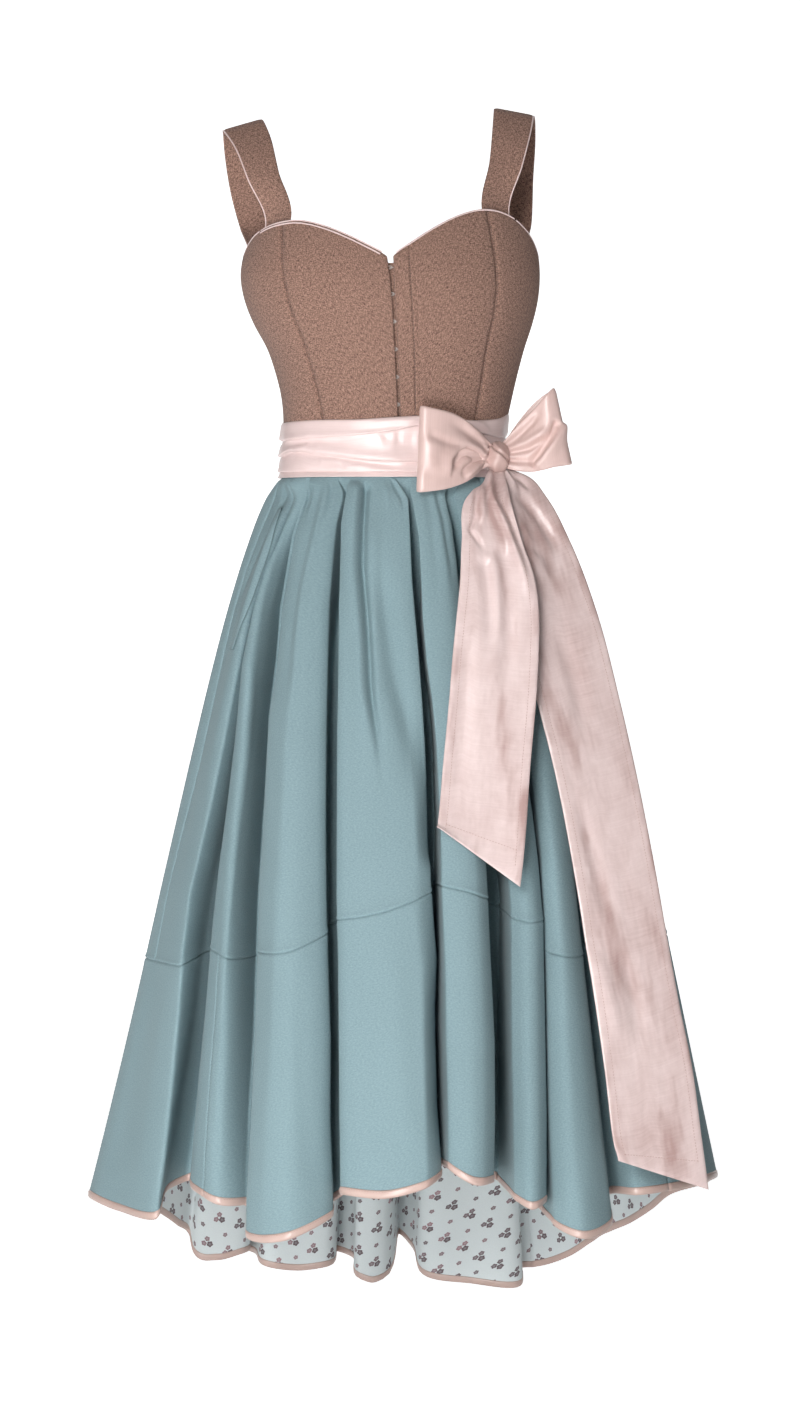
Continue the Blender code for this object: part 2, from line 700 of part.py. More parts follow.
def tail_grid(tail, points):
    rows = np.array(tail["rows"], float) * MM
    centre = np.column_stack([(rows[:, 0] + rows[:, 2]) / 2, np.zeros(len(rows)),
                              (rows[:, 1] + rows[:, 3]) / 2, rows])
    path = along(centre, TAIL_ROWS)[:, 3:]
    across = np.linspace(0, 1, TAIL_COLUMNS)
    xs = path[:, :1] + (path[:, 2:3] - path[:, :1]) * across
    zs = path[:, 1:2] + (path[:, 3:4] - path[:, 1:2]) * across
    turned = tail["slope"] * (xs - xs[:, :1])
    front = np.array([[front_of(points, x, z) for x, z in zip(*row)] for row in zip(xs, zs)])
    level = np.nanmin(front - turned, axis=1) - tail["clear"] * MM
    level[0] = tail["root_y"] * MM
    # A hanging band is straight or bowed out, so it goes from one prominent place to the next.
    for _ in range(TAIL_ROWS):
        between = (level[:-2] + level[2:]) / 2
        level[1:-1] = np.minimum(level[1:-1], between)
    return np.stack([xs, level[:, None] + turned, zs], axis=2)


def make_tails(material, collection, cutter):
    skirt = np.array([skirt_point(column, share)
                      for column in hem_columns() for share in np.linspace(0, 1, 60)])
    band = np.array([body_point(angle, z) + body_outward(angle, z) * SASH_STAND_OUT
                     for angle in range(0, 120, 4) for z in np.linspace(-400, -380, 3) * MM])
    points = np.concatenate([skirt, band])
    long_grid = tail_grid(TAILS["long"], points)
    long_tail = strip("sash_tail_long", long_grid, SATIN_WALL, material, collection)
    points = np.concatenate([points, long_grid.reshape(-1, 3)])
    short_tail = strip("sash_tail_short", tail_grid(TAILS["short"], points), SATIN_WALL, material, collection)
    for tail in (long_tail, short_tail):
        cut_by(tail, cutter)


def main():
    for obj in list(bpy.data.objects):
        bpy.data.objects.remove(obj)
    dress = bpy.data.collections.new("dirndl_dress")
    cutters = bpy.data.collections.new("cutters")
    for collection in (dress, cutters):
        bpy.context.scene.collection.children.link(collection)

    brown = make_material("brown_cloth", (0.26, 0.17, 0.14), 0.9)
    satin = make_material("pink_satin", (0.77, 0.57, 0.54), 0.35)
    teal = make_material("teal_twill", (0.26, 0.39, 0.40), 0.85)
    print_ = make_material("printed_lining", (0.57, 0.65, 0.65), 0.8)

    make_bodice(brown, dress)
    make_straps(brown, dress)
    make_piping(satin, dress)
    make_skirt(*skirt_surface(), (teal, satin, print_), dress)
    make_sash_band(satin, dress)
    ellipsoid("sash_knot", 0.0, satin, dress)
    cutter = ellipsoid("knot_clearance", GAP, satin, cutters)
    cutter.hide_render = True
    cutter.display_type = "WIRE"
    make_loops(satin, dress, cutter)
    make_tails(satin, dress, cutter)


main()
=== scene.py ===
import math

import bmesh
import bpy
import numpy as np
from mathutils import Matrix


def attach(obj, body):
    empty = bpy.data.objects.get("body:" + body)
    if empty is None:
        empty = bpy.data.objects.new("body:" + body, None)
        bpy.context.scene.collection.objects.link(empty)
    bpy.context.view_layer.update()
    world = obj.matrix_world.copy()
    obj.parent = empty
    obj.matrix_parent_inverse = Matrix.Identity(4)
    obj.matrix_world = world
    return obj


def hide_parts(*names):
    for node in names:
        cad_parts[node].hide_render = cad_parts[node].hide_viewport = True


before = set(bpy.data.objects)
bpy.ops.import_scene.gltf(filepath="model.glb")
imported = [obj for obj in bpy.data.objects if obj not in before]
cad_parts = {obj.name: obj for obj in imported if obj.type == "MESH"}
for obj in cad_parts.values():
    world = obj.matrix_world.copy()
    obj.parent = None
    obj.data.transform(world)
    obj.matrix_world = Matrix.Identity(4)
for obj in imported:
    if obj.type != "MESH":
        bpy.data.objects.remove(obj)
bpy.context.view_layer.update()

mm = 0.001

# Metres, +Z up, the front faces -Y, origin at shoulder level. Angles go round the body: 0 is centre front,
# +90 the +X side, 180 centre back. Lengths in the tables are millimetres unless a note says otherwise.

body = {
    "sections": [
        # z, halfWidth, front, back, shift
        (-410, 122, 86, 82, 0), (-370, 121, 86, 81, 0), (-340, 122, 89, 82, 2), (-310, 126, 94, 84, 4),
        (-280, 133, 101, 87, 4), (-254, 141, 108, 90, 3), (-226, 153, 114, 94, 0), (-200, 161, 117, 97, -2),
        (-176, 164, 115, 98, -3), (-146, 161, 108, 97, -2), (-110, 153, 96, 93, 0), (-80, 146, 84, 90, 0),
    ],
    "fullness": 0.03,                 # how far a section is squarer than an ellipse
    "waistZ": -396 * mm, "waistDip": 4 * mm,
}


# curves and surfaces
def smooth(x, knots, values):
    # smooth curve through a table's points, x in any shape
    x, knots, values = np.asarray(x, float), np.asarray(knots, float), np.asarray(values, float)
    shape, flat = x.shape, np.clip(x.ravel(), knots[0], knots[-1])
    slopes = np.gradient(values, knots, axis=0)
    i = np.clip(np.searchsorted(knots, flat, side="right") - 1, 0, len(knots) - 2)
    width = knots[i + 1] - knots[i]
    t = (flat - knots[i]) / width
    if values.ndim > 1:
        t, width = t[:, None], width[:, None]
    found = ((2 * t**3 - 3 * t**2 + 1) * values[i] + (t**3 - 2 * t**2 + t) * width * slopes[i]
             + (3 * t**2 - 2 * t**3) * values[i + 1] + (t**3 - t**2) * width * slopes[i + 1])
    return found.reshape(shape + values.shape[1:])


def unit(vectors):
    return vectors / np.maximum(np.linalg.norm(vectors, axis=-1, keepdims=True), 1e-12)


def reach(points):
    # distance along a line of points
    steps = np.linalg.norm(np.diff(points, axis=0), axis=-1)
    return np.concatenate([np.zeros_like(steps[:1]), np.cumsum(steps, axis=0)])


def along(points, count):
    # count points, evenly spaced, on a smooth curve through the given ones
    points = np.asarray(points, float)
    distance = reach(points[:, :3])
    return smooth(np.linspace(0, distance[-1], count), distance, points)


def hump(x, width):
    return np.exp(-(x / width) ** 2)


def ease(x, low=0.0, high=1.0):
    t = np.clip((x - low) / (high - low), 0, 1)
    return t * t * (3 - 2 * t)


def bodyPoint(angle, z):
    angle, z = np.broadcast_arrays(np.asarray(angle, float), np.asarray(z, float))
    table = np.array(body["sections"], float) * mm
    halfWidth, front, back, shift = np.moveaxis(smooth(z, table[:, 0], table[:, 1:]), -1, 0)
    a = np.radians(angle)
    fuller = 1 + body["fullness"] * np.sin(2 * a) ** 2
    depth = np.where(np.cos(a) > 0, front, back)
    return np.stack([halfWidth * np.sin(a) * fuller + shift, -depth * np.cos(a) * fuller, z], -1)


def bodyOutward(angle, z):
    across = bodyPoint(angle + 0.5, z) - bodyPoint(angle - 0.5, z)
    down = bodyPoint(angle, z - mm) - bodyPoint(angle, z + mm)
    return unit(np.cross(down, across))


def bodyAngle(x, z):
    table = np.array(body["sections"], float) * mm
    halfWidth, _, _, shift = np.moveaxis(smooth(z, table[:, 0], table[:, 1:]), -1, 0)
    return np.degrees(np.arcsin((x - shift) / halfWidth))


def waistZ(angle):
    return body["waistZ"] - body["waistDip"] * np.cos(np.radians(angle))


def gridNormals(points, ring=False):
    if ring:
        across = np.roll(points, -1, axis=1) - np.roll(points, 1, axis=1)
    else:
        across = np.gradient(points, axis=1)
    return unit(np.cross(np.gradient(points, axis=0), across))


def lineDistance(places, line):
    # distance from each place to a line of points, with the share of the way along it, and on which side it lies
    line = np.asarray(line, float) * mm
    lengths = reach(line)
    best = np.full(len(places), np.inf)
    share, side = np.zeros(len(places)), np.zeros(len(places))
    for start, end, begun in zip(line[:-1], line[1:], lengths):
        ahead = end - start
        length = np.linalg.norm(ahead)
        t = np.clip((places - start) @ ahead / length**2, 0, 1)
        gap = places - start - t[:, None] * ahead
        distance = np.linalg.norm(gap, axis=1)
        nearer = distance < best
        best = np.where(nearer, distance, best)
        share = np.where(nearer, (begun + t * length) / lengths[-1], share)
        turned = ahead[0] * gap[:, 1] - ahead[1] * gap[:, 0]
        side = np.where(nearer, np.sign(turned), side)
    return best, share, side


viewAxes = {"front": (0, 2, 1, -1), "back": (0, 2, 1, 1), "left": (1, 2, 0, -1), "right": (1, 2, 0, 1)}


def crease(width, height, *line, view="front", fade=(0.25, 0.3), pleat=0):
    # A soft crease along a line on one side's view: a fold, or a trough where its height is negative. It fades in
    # and out over shares of the line, and a pleat drops at once on one side of it.
    return {"width": width, "height": height, "line": line, "view": view, "fade": fade, "pleat": pleat}


def creased(points, normals, creases, ownSide=False):
    # moves a surface along its normals by its creases, and with ownSide only the half that their view shows
    flat, shape = points.reshape(-1, 3), points.shape[:-1]
    facing = normals.reshape(-1, 3)
    height = np.zeros(len(flat))
    for one in creases:
        h, v, depthAxis, sign = viewAxes[one["view"]]
        seen = ease(facing[:, depthAxis] * sign, 0.05, 0.45)
        if ownSide:
            seen = seen * (flat[:, depthAxis] * sign > 0)
        distance, share, side = lineDistance(flat[:, (h, v)], one["line"])
        fadeIn, fadeOut = one["fade"]
        strength = ease(share, 0, fadeIn + 1e-6) * (1 - ease(share, 1 - fadeOut - 1e-6, 1))
        t = distance / (one["width"] * mm)
        raised = np.exp(-t ** 2)
        if one["pleat"]:
            raised = np.where(side * one["pleat"] > 0, raised, np.exp(-(t * 6) ** 2))
        height += one["height"] * mm * raised * strength * seen
    return points + normals * height.reshape(shape)[..., None]


# meshes
def quadsOf(index):
    # faces between the rows and columns of a grid of corners
    return np.stack([index[:-1, :-1], index[1:, :-1], index[1:, 1:], index[:-1, 1:]], -1).reshape(-1, 4)


def gridIndex(rows, columns):
    return np.arange(rows * columns).reshape(rows, columns)


def makeMesh(name, corners, faces, uvs):
    mesh = bpy.data.meshes.new(name)
    mesh.vertices.add(len(corners))
    mesh.vertices.foreach_set("co", np.asarray(corners, float).ravel())
    mesh.loops.add(faces.size)
    mesh.loops.foreach_set("vertex_index", faces.ravel().astype(int))
    mesh.polygons.add(len(faces))
    mesh.polygons.foreach_set("loop_start", np.arange(len(faces)) * faces.shape[1])
    mesh.update(calc_edges=True)
    layer = mesh.uv_layers.new(name="cloth")
    layer.data.foreach_set("uv", np.asarray(uvs, float).reshape(-1))
    mesh.shade_smooth()
    mesh.validate()
    return mesh


def addPiece(name, mesh, finish):
    mesh.materials.clear()
    mesh.materials.append(finish)
    piece = bpy.data.objects.new(name + "_made", mesh)
    bpy.context.scene.collection.objects.link(piece)
    return piece


def clothShell(name, outer, inner, uv, finish, ring=False, lip=0.35):
    # Closed wall of cloth between two grids, with a rounded rim. Rows go down, columns to the right seen from
    # outside. A ring's grids leave out the last column, and its uv has it.
    rows, columns = outer.shape[:2]
    place = gridIndex(rows, columns)
    if ring:
        place = np.column_stack([place, place[:, :1]])
    spot = gridIndex(*place.shape)
    front = quadsOf(spot)
    if ring:
        loops = [spot[0, ::-1], spot[-1]]
    else:
        loops = [np.concatenate([spot[:-1, 0], spot[-1, :-1], spot[:0:-1, -1], spot[0, ::-1]])]
    place, uv = place.ravel(), uv.reshape(-1, 2)
    outer, inner = outer.reshape(-1, 3), inner.reshape(-1, 3)
    back = front[:, ::-1]
    corners, faces, uvs = [outer, inner], [place[front], place[back] + len(outer)], [uv[front], uv[back]]
    total = 2 * len(outer)
    for loop in loops:
        ids = place[loop]
        row, column = np.divmod(ids[:-1], columns)
        inside = np.clip(row, 1, rows - 2) * columns + (column if ring else np.clip(column, 1, columns - 2))
        wall = np.linalg.norm(outer[ids[:-1]] - inner[ids[:-1]], axis=1, keepdims=True)
        middle = (outer[ids[:-1]] + inner[ids[:-1]]) / 2 + unit(outer[ids[:-1]] - outer[inside]) * wall * lip
        mid = total + np.append(np.arange(len(middle)), 0)
        corners.append(middle)
        total += len(middle)
        p, q = ids[:-1], ids[1:]
        faces.append(np.stack([q, p, mid[:-1], mid[1:]], -1))
        faces.append(np.stack([mid[1:], mid[:-1], p + len(outer), q + len(outer)], -1))
        rim = uv[np.stack([loop[1:], loop[:-1], loop[:-1], loop[1:]], -1)]
        uvs += [rim, rim]
    mesh = makeMesh(name, np.concatenate(corners), np.concatenate(faces), np.concatenate(uvs))
    return addPiece(name, mesh, finish)


def measuredUv(points, ring=False):
    # metres across and down the cloth, measured on its surface from its middle column
    if ring:
        points = np.concatenate([points, points[:, :1]], axis=1)
    across = np.moveaxis(reach(np.moveaxis(points, 1, 0)), 0, 1)
    middle = points.shape[1] // 2
    return np.stack([across - across[:, middle:middle + 1], -reach(points)], -1)


def edgeDistance(points):
    # metres from the nearer of a grid's two upright edges
    aside = measuredUv(points)[..., 0]
    return np.minimum(aside - aside[:, :1], aside[:, -1:] - aside)


def rolledEdge(points, normals, width, depth):
    return points - normals * (hump(edgeDistance(points), width) * depth)[..., None]


def clothPiece(name, points, wall, finish, ring=False, normals=None, uv=None, lip=0.35):
    if normals is None:
        normals = gridNormals(points, ring)
    if uv is None:
        uv = measuredUv(points, ring)
    return clothShell(name, points, points - normals * wall, uv, finish, ring, lip)


def tubeMesh(name, lines, radius, sides=8):
    # Round cords along lines of points, with closed ends
    corners, faces, total = [], [], 0
    turn = np.linspace(0, 2 * math.pi, sides, endpoint=False)
    for line in lines:
        line = np.asarray(line, float)
        ahead = unit(np.gradient(line, axis=0))
        side = [unit(np.cross(ahead[0], (0.13, 0.99, 0.05)))]
        for direction in ahead[1:]:
            side.append(unit(side[-1] - direction * (side[-1] @ direction)))
        side = np.array(side)
        up = np.cross(ahead, side)
        ring = line[:, None] + radius * (side[:, None] * np.cos(turn)[None, :, None]
                                         + up[:, None] * np.sin(turn)[None, :, None])
        ends = np.stack([line[0] - ahead[0] * radius * 0.6, line[-1] + ahead[-1] * radius * 0.6])
        index = total + np.arange(len(line) * sides).reshape(len(line), sides)
        index = np.column_stack([index, index[:, :1]])
        around = np.stack([index[:-1, :-1], index[:-1, 1:], index[1:, 1:], index[1:, :-1]], -1).reshape(-1, 4)
        first, last = total + len(line) * sides, total + len(line) * sides + 1
        capA = np.stack([index[0, 1:], index[0, :-1], np.full(sides, first), np.full(sides, first)], -1)
        capB = np.stack([index[-1, :-1], index[-1, 1:], np.full(sides, last), np.full(sides, last)], -1)
        corners += [ring.reshape(-1, 3), ends]
        faces.append((around, capA, capB))
        total += len(line) * sides + 2
    bm = bmesh.new()
    verts = [bm.verts.new(corner) for corner in np.concatenate(corners)]
    layer = bm.loops.layers.uv.new("cloth")
    for group in faces:
        for face in np.concatenate(group):
            made = bm.faces.new([verts[i] for i in dict.fromkeys(face.tolist())])
            made.smooth = True
            for loop in made.loops:
                loop[layer].uv = (loop.vert.co.x + loop.vert.co.y, loop.vert.co.z)
    mesh = bpy.data.meshes.new(name)
    bm.to_mesh(mesh)
    bm.free()
    return mesh


# materials
class Wire:
    # a shader socket that takes Python's arithmetic
    def __init__(self, maker, socket):
        self.maker, self.socket = maker, socket

    def math(self, operation, *values):
        return self.maker.wire("Math", {"operation": operation}, dict(enumerate((self, *values))))

    def __add__(self, other): return self.math("ADD", other)
    def __radd__(self, other): return self.math("ADD", other)
    def __sub__(self, other): return self.math("SUBTRACT", other)
    def __rsub__(self, other): return self.maker.wire("Math", {"operation": "SUBTRACT"}, {0: other, 1: self})
    def __mul__(self, other): return self.math("MULTIPLY", other)
    def __rmul__(self, other): return self.math("MULTIPLY", other)
    def __truediv__(self, other): return self.math("DIVIDE", other)
    def __pow__(self, other): return self.math("POWER", other)
    def __lt__(self, other): return self.math("LESS_THAN", other)
    def __gt__(self, other): return self.math("GREATER_THAN", other)
    def __neg__(self): return self.math("MULTIPLY", -1.0)


class Finish:
    # one material's nodes
    def __init__(self, name, **fixed):
        self.material = bpy.data.materials.new(name)
        self.material.use_nodes = True
        self.tree = self.material.node_tree
        self.shader = self.tree.nodes["Principled BSDF"]
        for socket, value in fixed.items():
            self.shader.inputs[socket.replace("_", " ")].default_value = value

    def node(self, kind, settings=None, sockets=None):
        made = self.tree.nodes.new("ShaderNode" + kind)
        for key, value in (settings or {}).items():
            if key == "stops":
                ramp = made.color_ramp
                while len(ramp.elements) < len(value):
                    ramp.elements.new(1.0)
                for element, (position, colour) in zip(ramp.elements, value):
                    element.position, element.color = position, (*colour, 1)
            else:
                setattr(made, key, value)
        for key, value in (sockets or {}).items():
            if isinstance(value, Wire):
                self.tree.links.new(value.socket, made.inputs[key])
            else:
                made.inputs[key].default_value = value
        return made

    def wire(self, kind, settings=None, sockets=None, output=0):
        return Wire(self, self.node(kind, settings, sockets).outputs[output])

    def split(self, vector):
        return [Wire(self, part) for part in self.node("SeparateXYZ", {}, {0: vector}).outputs]

    def uv(self):
        return self.wire("UVMap", {"uv_map": "cloth"})

    def place(self):
        return self.wire("TexCoord", {}, {}, "Object")

    def scaled(self, vector, scale):
        return self.wire("VectorMath", {"operation": "MULTIPLY"}, {0: vector, 1: scale})

    def noise(self, vector, scale, detail=2.0, roughness=0.5):
        # scale is in waves a metre, one number or one for each way
        if isinstance(scale, tuple):
            vector, scale = self.scaled(vector, scale), 1.0
        return self.wire("TexNoise", {"noise_dimensions": "3D"},
                         {"Vector": vector, "Scale": scale, "Detail": detail, "Roughness": roughness})

    def mix(self, a, b, factor):
        colours = {6: a if isinstance(a, Wire) else (*a, 1), 7: b if isinstance(b, Wire) else (*b, 1)}
        return self.wire("Mix", {"data_type": "RGBA"}, {0: factor, **colours}, 2)

    def tint(self, colour, factor):
        # multiplies a colour by a grey value
        grey = self.wire("CombineColor", {}, {0: factor, 1: factor, 2: factor})
        return self.wire("Mix", {"data_type": "RGBA", "blend_type": "MULTIPLY"}, {0: 1.0, 6: colour, 7: grey}, 2)

    def clamp(self, value, low=0.0, high=1.0):
        return self.wire("Clamp", {}, {0: value, 1: low, 2: high})

    def colour(self, colour):
        self.tree.links.new(colour.socket, self.shader.inputs["Base Color"])

    def rough(self, value):
        self.tree.links.new(value.socket, self.shader.inputs["Roughness"])

    def bump(self, height, distance, strength=1.0):
        bump = self.node("Bump", {}, {"Strength": strength, "Distance": distance, "Height": height})
        self.tree.links.new(bump.outputs[0], self.shader.inputs["Normal"])


def mixed(low, high, t):
    return tuple(a + (b - a) * t for a, b in zip(low, high))


brownCloth = {
    "dark": (0.104, 0.057, 0.045), "light": (0.452, 0.273, 0.210), "threadPitch": 1.0 * mm,
    "speckle": 780, "roughness": 0.92,
}
tealCloth = {
    "dark": (0.124, 0.200, 0.222), "light": (0.305, 0.418, 0.452), "threadPitch": 1.15 * mm, "roughness": 0.88,
}
pinkSatin = {
    "roughness": (0.28, 0.42), "rib": 620, "plainPatch": (17.0, 11.0, 1.0), "wateredPatch": (27.0, 6.5, 1.0),
    # the bow's pair is the sash's pink painted darker: painted shade where the loops turn from the light
    "sash": ((0.54, 0.375, 0.355), (0.865, 0.715, 0.70)), "bow": ((0.44, 0.27, 0.24), (0.76, 0.58, 0.545)),
    # the knot's pair is darker still: painted shade of the knot's folds
    "knot": ((0.36, 0.22, 0.195), (0.64, 0.46, 0.425)), "tails": ((0.45, 0.30, 0.28), (0.84, 0.70, 0.685)),
    "binding": ((0.27, 0.165, 0.135), (0.70, 0.53, 0.475)),
}
printedCotton = {
    "ground": (0.625, 0.68, 0.69), "brown": (0.090, 0.045, 0.056), "rose": (0.31, 0.16, 0.18),
    "repeat": ((25.6 * mm, 10.2 * mm), (11.5 * mm, -29.4 * mm)),
}


def makeBrown():
    f = Finish("brown_melange", Roughness=brownCloth["roughness"], Sheen_Weight=0.08, Sheen_Roughness=0.5,
               Specular_IOR_Level=0.2)
    uv = f.uv()
    speckle = brownCloth["speckle"]
    upright = f.noise(uv, (speckle * 1.5, speckle * 0.32, 1.0), 3.0, 0.6)
    level = f.noise(uv, (speckle * 0.32, speckle * 1.5, 1.0), 3.0, 0.6)
    grain = f.noise(uv, speckle * 1.2, 2.0, 0.7)
    wide = f.noise(uv, 9.0, 2.0)
    thread = f.clamp((upright + level + grain - 1.5) * 2.3 + 0.5)
    base = f.mix(brownCloth["dark"], brownCloth["light"], thread)
    f.colour(f.tint(base, 0.93 + wide * 0.14))
    across, down, _ = f.split(f.scaled(uv, (2 * math.pi / brownCloth["threadPitch"],) * 3))
    crossed = across.math("SINE") * down.math("SINE")
    f.bump(thread * 0.7 + crossed * 0.3, 0.00035, 0.8)
    return f.material


def makeTeal():
    f = Finish("teal_twill", Roughness=tealCloth["roughness"], Sheen_Weight=0.08, Sheen_Roughness=0.45,
               Specular_IOR_Level=0.2)
    uv = f.uv()
    across, down, _ = f.split(uv)
    slant = (across + down * 0.8) * (2 * math.pi / tealCloth["threadPitch"])
    wobble = f.noise(uv, 60.0, 2.0)
    twill = (slant + wobble * 3.0).math("SINE") * 0.5 + 0.5
    heather = f.noise(uv, (420.0, 700.0, 1.0), 3.0, 0.65)
    wide = f.noise(uv, 7.0, 2.0)
    thread = f.clamp(0.5 + (heather - 0.5) * 1.1 + (twill - 0.5) * 0.16 + (wide - 0.5) * 0.10)
    f.colour(f.mix(tealCloth["dark"], tealCloth["light"], thread))
    f.bump(twill * 0.6 + heather * 0.5, 0.00025, 0.6)
    return f.material


def makeSatin(name, colours, blotches=0.0, ribbed=1.0):
    f = Finish(name, Sheen_Weight=0.10, Sheen_Roughness=0.3, Specular_IOR_Level=0.65)
    uv = f.uv()
    slub = f.noise(uv, (18.0, pinkSatin["rib"], 1.0), 2.0, 0.5)
    fine = f.noise(uv, (60.0, pinkSatin["rib"] * 2.3, 1.0), 1.0)
    patch = f.noise(uv, pinkSatin["wateredPatch" if blotches > 0.5 else "plainPatch"], 3.0, 0.6)
    mottle = f.noise(uv, (46.0, 30.0, 1.0), 4.0, 0.7)
    where = f.clamp((f.noise(uv, (15.0, 6.0, 1.0), 1.0) - 0.52) * 5.0)
    ripple = f.noise(uv, (26.0, 330.0, 1.0), 1.0) * where
    stain = f.clamp((patch - 0.53) * 6.0)
    shade = f.clamp(0.60 + (slub - 0.5) * 0.26 * ribbed + (mottle - 0.5) * (0.10 + blotches * 0.55)
                    + (0.5 - patch) * 0.12 - stain * 0.55 * blotches - ripple * 0.5 * blotches)
    f.colour(f.mix(*pinkSatin[colours], shade))
    low, high = pinkSatin["roughness"]
    f.rough(f.clamp(low + (high - low) * fine + (0.5 - patch) * 0.2 * blotches, 0.18, 0.75))
    f.bump(slub * 0.6 * ribbed + fine * 0.25 + patch * (4.0 + 9.0 * blotches), 0.0003, 0.55)
    return f.material


def makePrint():
    # Small clusters of three blossoms with a single bud between each four of them, in a slanting repeat
    f = Finish("printed_lining", Roughness=0.82, Sheen_Weight=0.1, Specular_IOR_Level=0.25)
    uv = f.uv()
    (ax, ay), (bx, by) = printedCotton["repeat"]
    area = ax * by - ay * bx
    u, v, _ = f.split(uv)
    p, q = (u * by - v * bx) / area, (v * ax - u * ay) / area

    def cell(p, q):
        # place inside the cell from its middle, in metres, and a chance colour of the cell
        corner = f.wire("CombineXYZ", {}, {0: p, 1: q, 2: 0.0})
        whole = f.wire("VectorMath", {"operation": "FLOOR"}, {0: corner})
        s, t, _ = f.split(f.wire("VectorMath", {"operation": "FRACTION"}, {0: corner}))
        drawn = f.wire("TexWhiteNoise", {"noise_dimensions": "2D"}, {"Vector": whole}, "Color")
        chance = f.node("SeparateColor", {}, {0: drawn})
        s, t = s - 0.5, t - 0.5
        return s * ax + t * bx, s * ay + t * by, [Wire(f, out) for out in chance.outputs[:3]]

    def blossom(x, y, centreX, centreY, size, turn, petals=5.0):
        dx, dy = x - centreX, y - centreY
        angle = dy.math("ARCTAN2", dx)
        far = (dx * dx + dy * dy) ** 0.5
        edge = size * (0.92 + 0.10 * (angle * petals + turn).math("SINE"))
        petal = f.clamp((edge - far) * 2600.0)
        return petal * f.clamp(0.70 + far * (0.5 / size))

    x, y, (turn, rosy, sway) = cell(p, q)
    x, y = x + (sway - 0.5) * 2.0 * mm, y + (turn - 0.5) * 2.0 * mm
    turn = turn * (2 * math.pi)
    dark = blossom(x, y, -2.6 * mm, -1.8 * mm, 3.9 * mm, turn)
    soft = blossom(x, y, 4.2 * mm, -1.6 * mm, 3.4 * mm, turn + 2.0)
    soft = soft.math("MAXIMUM", blossom(x, y, 0.9 * mm, 4.3 * mm, 3.3 * mm, turn + 4.0))
    budX, budY, (turn2, rosy2, sway2) = cell(p + 0.5, q + 0.5)
    bud = blossom(budX, budY, (sway2 - 0.5) * 2.5 * mm, 0.0, 2.9 * mm, turn2 * 6.0)
    cloth = f.noise(uv, (700.0, 500.0, 1.0), 2.0)
    white, darkInk, rose = printedCotton["ground"], printedCotton["brown"], printedCotton["rose"]
    ground = f.mix(mixed(white, (0, 0, 0), 0.06), mixed(white, (1, 1, 1), 0.10), cloth)
    pale = f.mix(darkInk, rose, f.clamp(rosy * 1.6 - 0.5))
    colour = f.mix(ground, pale, soft * 0.9)
    colour = f.mix(colour, darkInk, dark * 0.92)
    f.colour(f.mix(colour, f.mix(darkInk, rose, rosy2 * 0.7), bud * 0.88))
    f.bump(cloth, 0.0002, 0.4)
    return f.material


def makePaper():
    # matt paper that glows by its own emission, dim in front and full where it sweeps up behind: painted light, no
    # lamp
    f = Finish("studio_paper", Roughness=0.9, Specular_IOR_Level=0.1, Emission_Strength=0.8)
    _, depth, _ = f.split(f.place())
    f.colour(f.mix((0.84, 0.84, 0.84), (0.88, 0.88, 0.88), f.noise(f.place(), 3.0)))
    # painted light: the emission rises from a dim glow in front to full behind
    glow = f.mix((0.10, 0.10, 0.10), (1, 1, 1), f.clamp((depth - 0.5) * 2.0))
    f.tree.links.new(glow.socket, f.shader.inputs["Emission Color"])
    return f.material


plainTrim = {"grain": 900.0, "darker": 0.12, "lighter": 0.072, "unevenness": 0.16}


def makePlain(name, colour, roughness, metallic=0.0):
    f = Finish(name, Metallic=metallic, Specular_IOR_Level=0.4)
    grain = f.noise(f.place(), plainTrim["grain"], 2.0)
    shades = mixed(colour, (0, 0, 0), plainTrim["darker"]), mixed(colour, (1, 1, 1), plainTrim["lighter"])
    f.colour(f.mix(*shades, grain))
    f.rough(f.clamp(roughness - plainTrim["unevenness"] / 2 + grain * plainTrim["unevenness"]))
    return f.material


print("materials")
brown, teal, lining = makeBrown(), makeTeal(), makePrint()
satin = makeSatin("pink_satin", "sash", 0.15)
# painted shade: the bow's satin is a darker copy of the sash's
shadedBowSatin = makeSatin("bow_satin_painted_shade", "bow", 0.2)
# painted shade: the knot's satin is a darker copy of the sash's, for its folds
shadedKnotSatin = makeSatin("knot_satin_painted_shade", "knot", 0.2)
wateredSatin = makeSatin("pink_satin_watered", "tails", 1.0)
bindingSatin = makeSatin("binding_satin", "binding", 0.2, 0.4)
brownThread = makePlain("brown_thread", (0.10, 0.062, 0.052), 0.7)
tealThread = makePlain("teal_thread", (0.12, 0.20, 0.215), 0.7)
pinkThread = makePlain("pink_thread", (0.50, 0.31, 0.27), 0.6)
hookMetal = makePlain("hook_metal", (0.40, 0.34, 0.31), 0.4, 0.7)


def dress(piece, nodes=(), flat=None, held="draped"):
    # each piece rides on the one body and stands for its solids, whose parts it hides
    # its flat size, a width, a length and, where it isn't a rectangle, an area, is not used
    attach(piece, "root")
    if nodes:
        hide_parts(*nodes)
    if flat:
        width, length, *area = flat
        area[0] if area else None
    return piece


# stitches: every row of them is one path, with one short thread after another along it
stitch = {"spacing": 3.2 * mm, "length": 2.3 * mm, "radius": 0.34 * mm}
brownStitches, tealStitches, pinkStitches = [], [], []


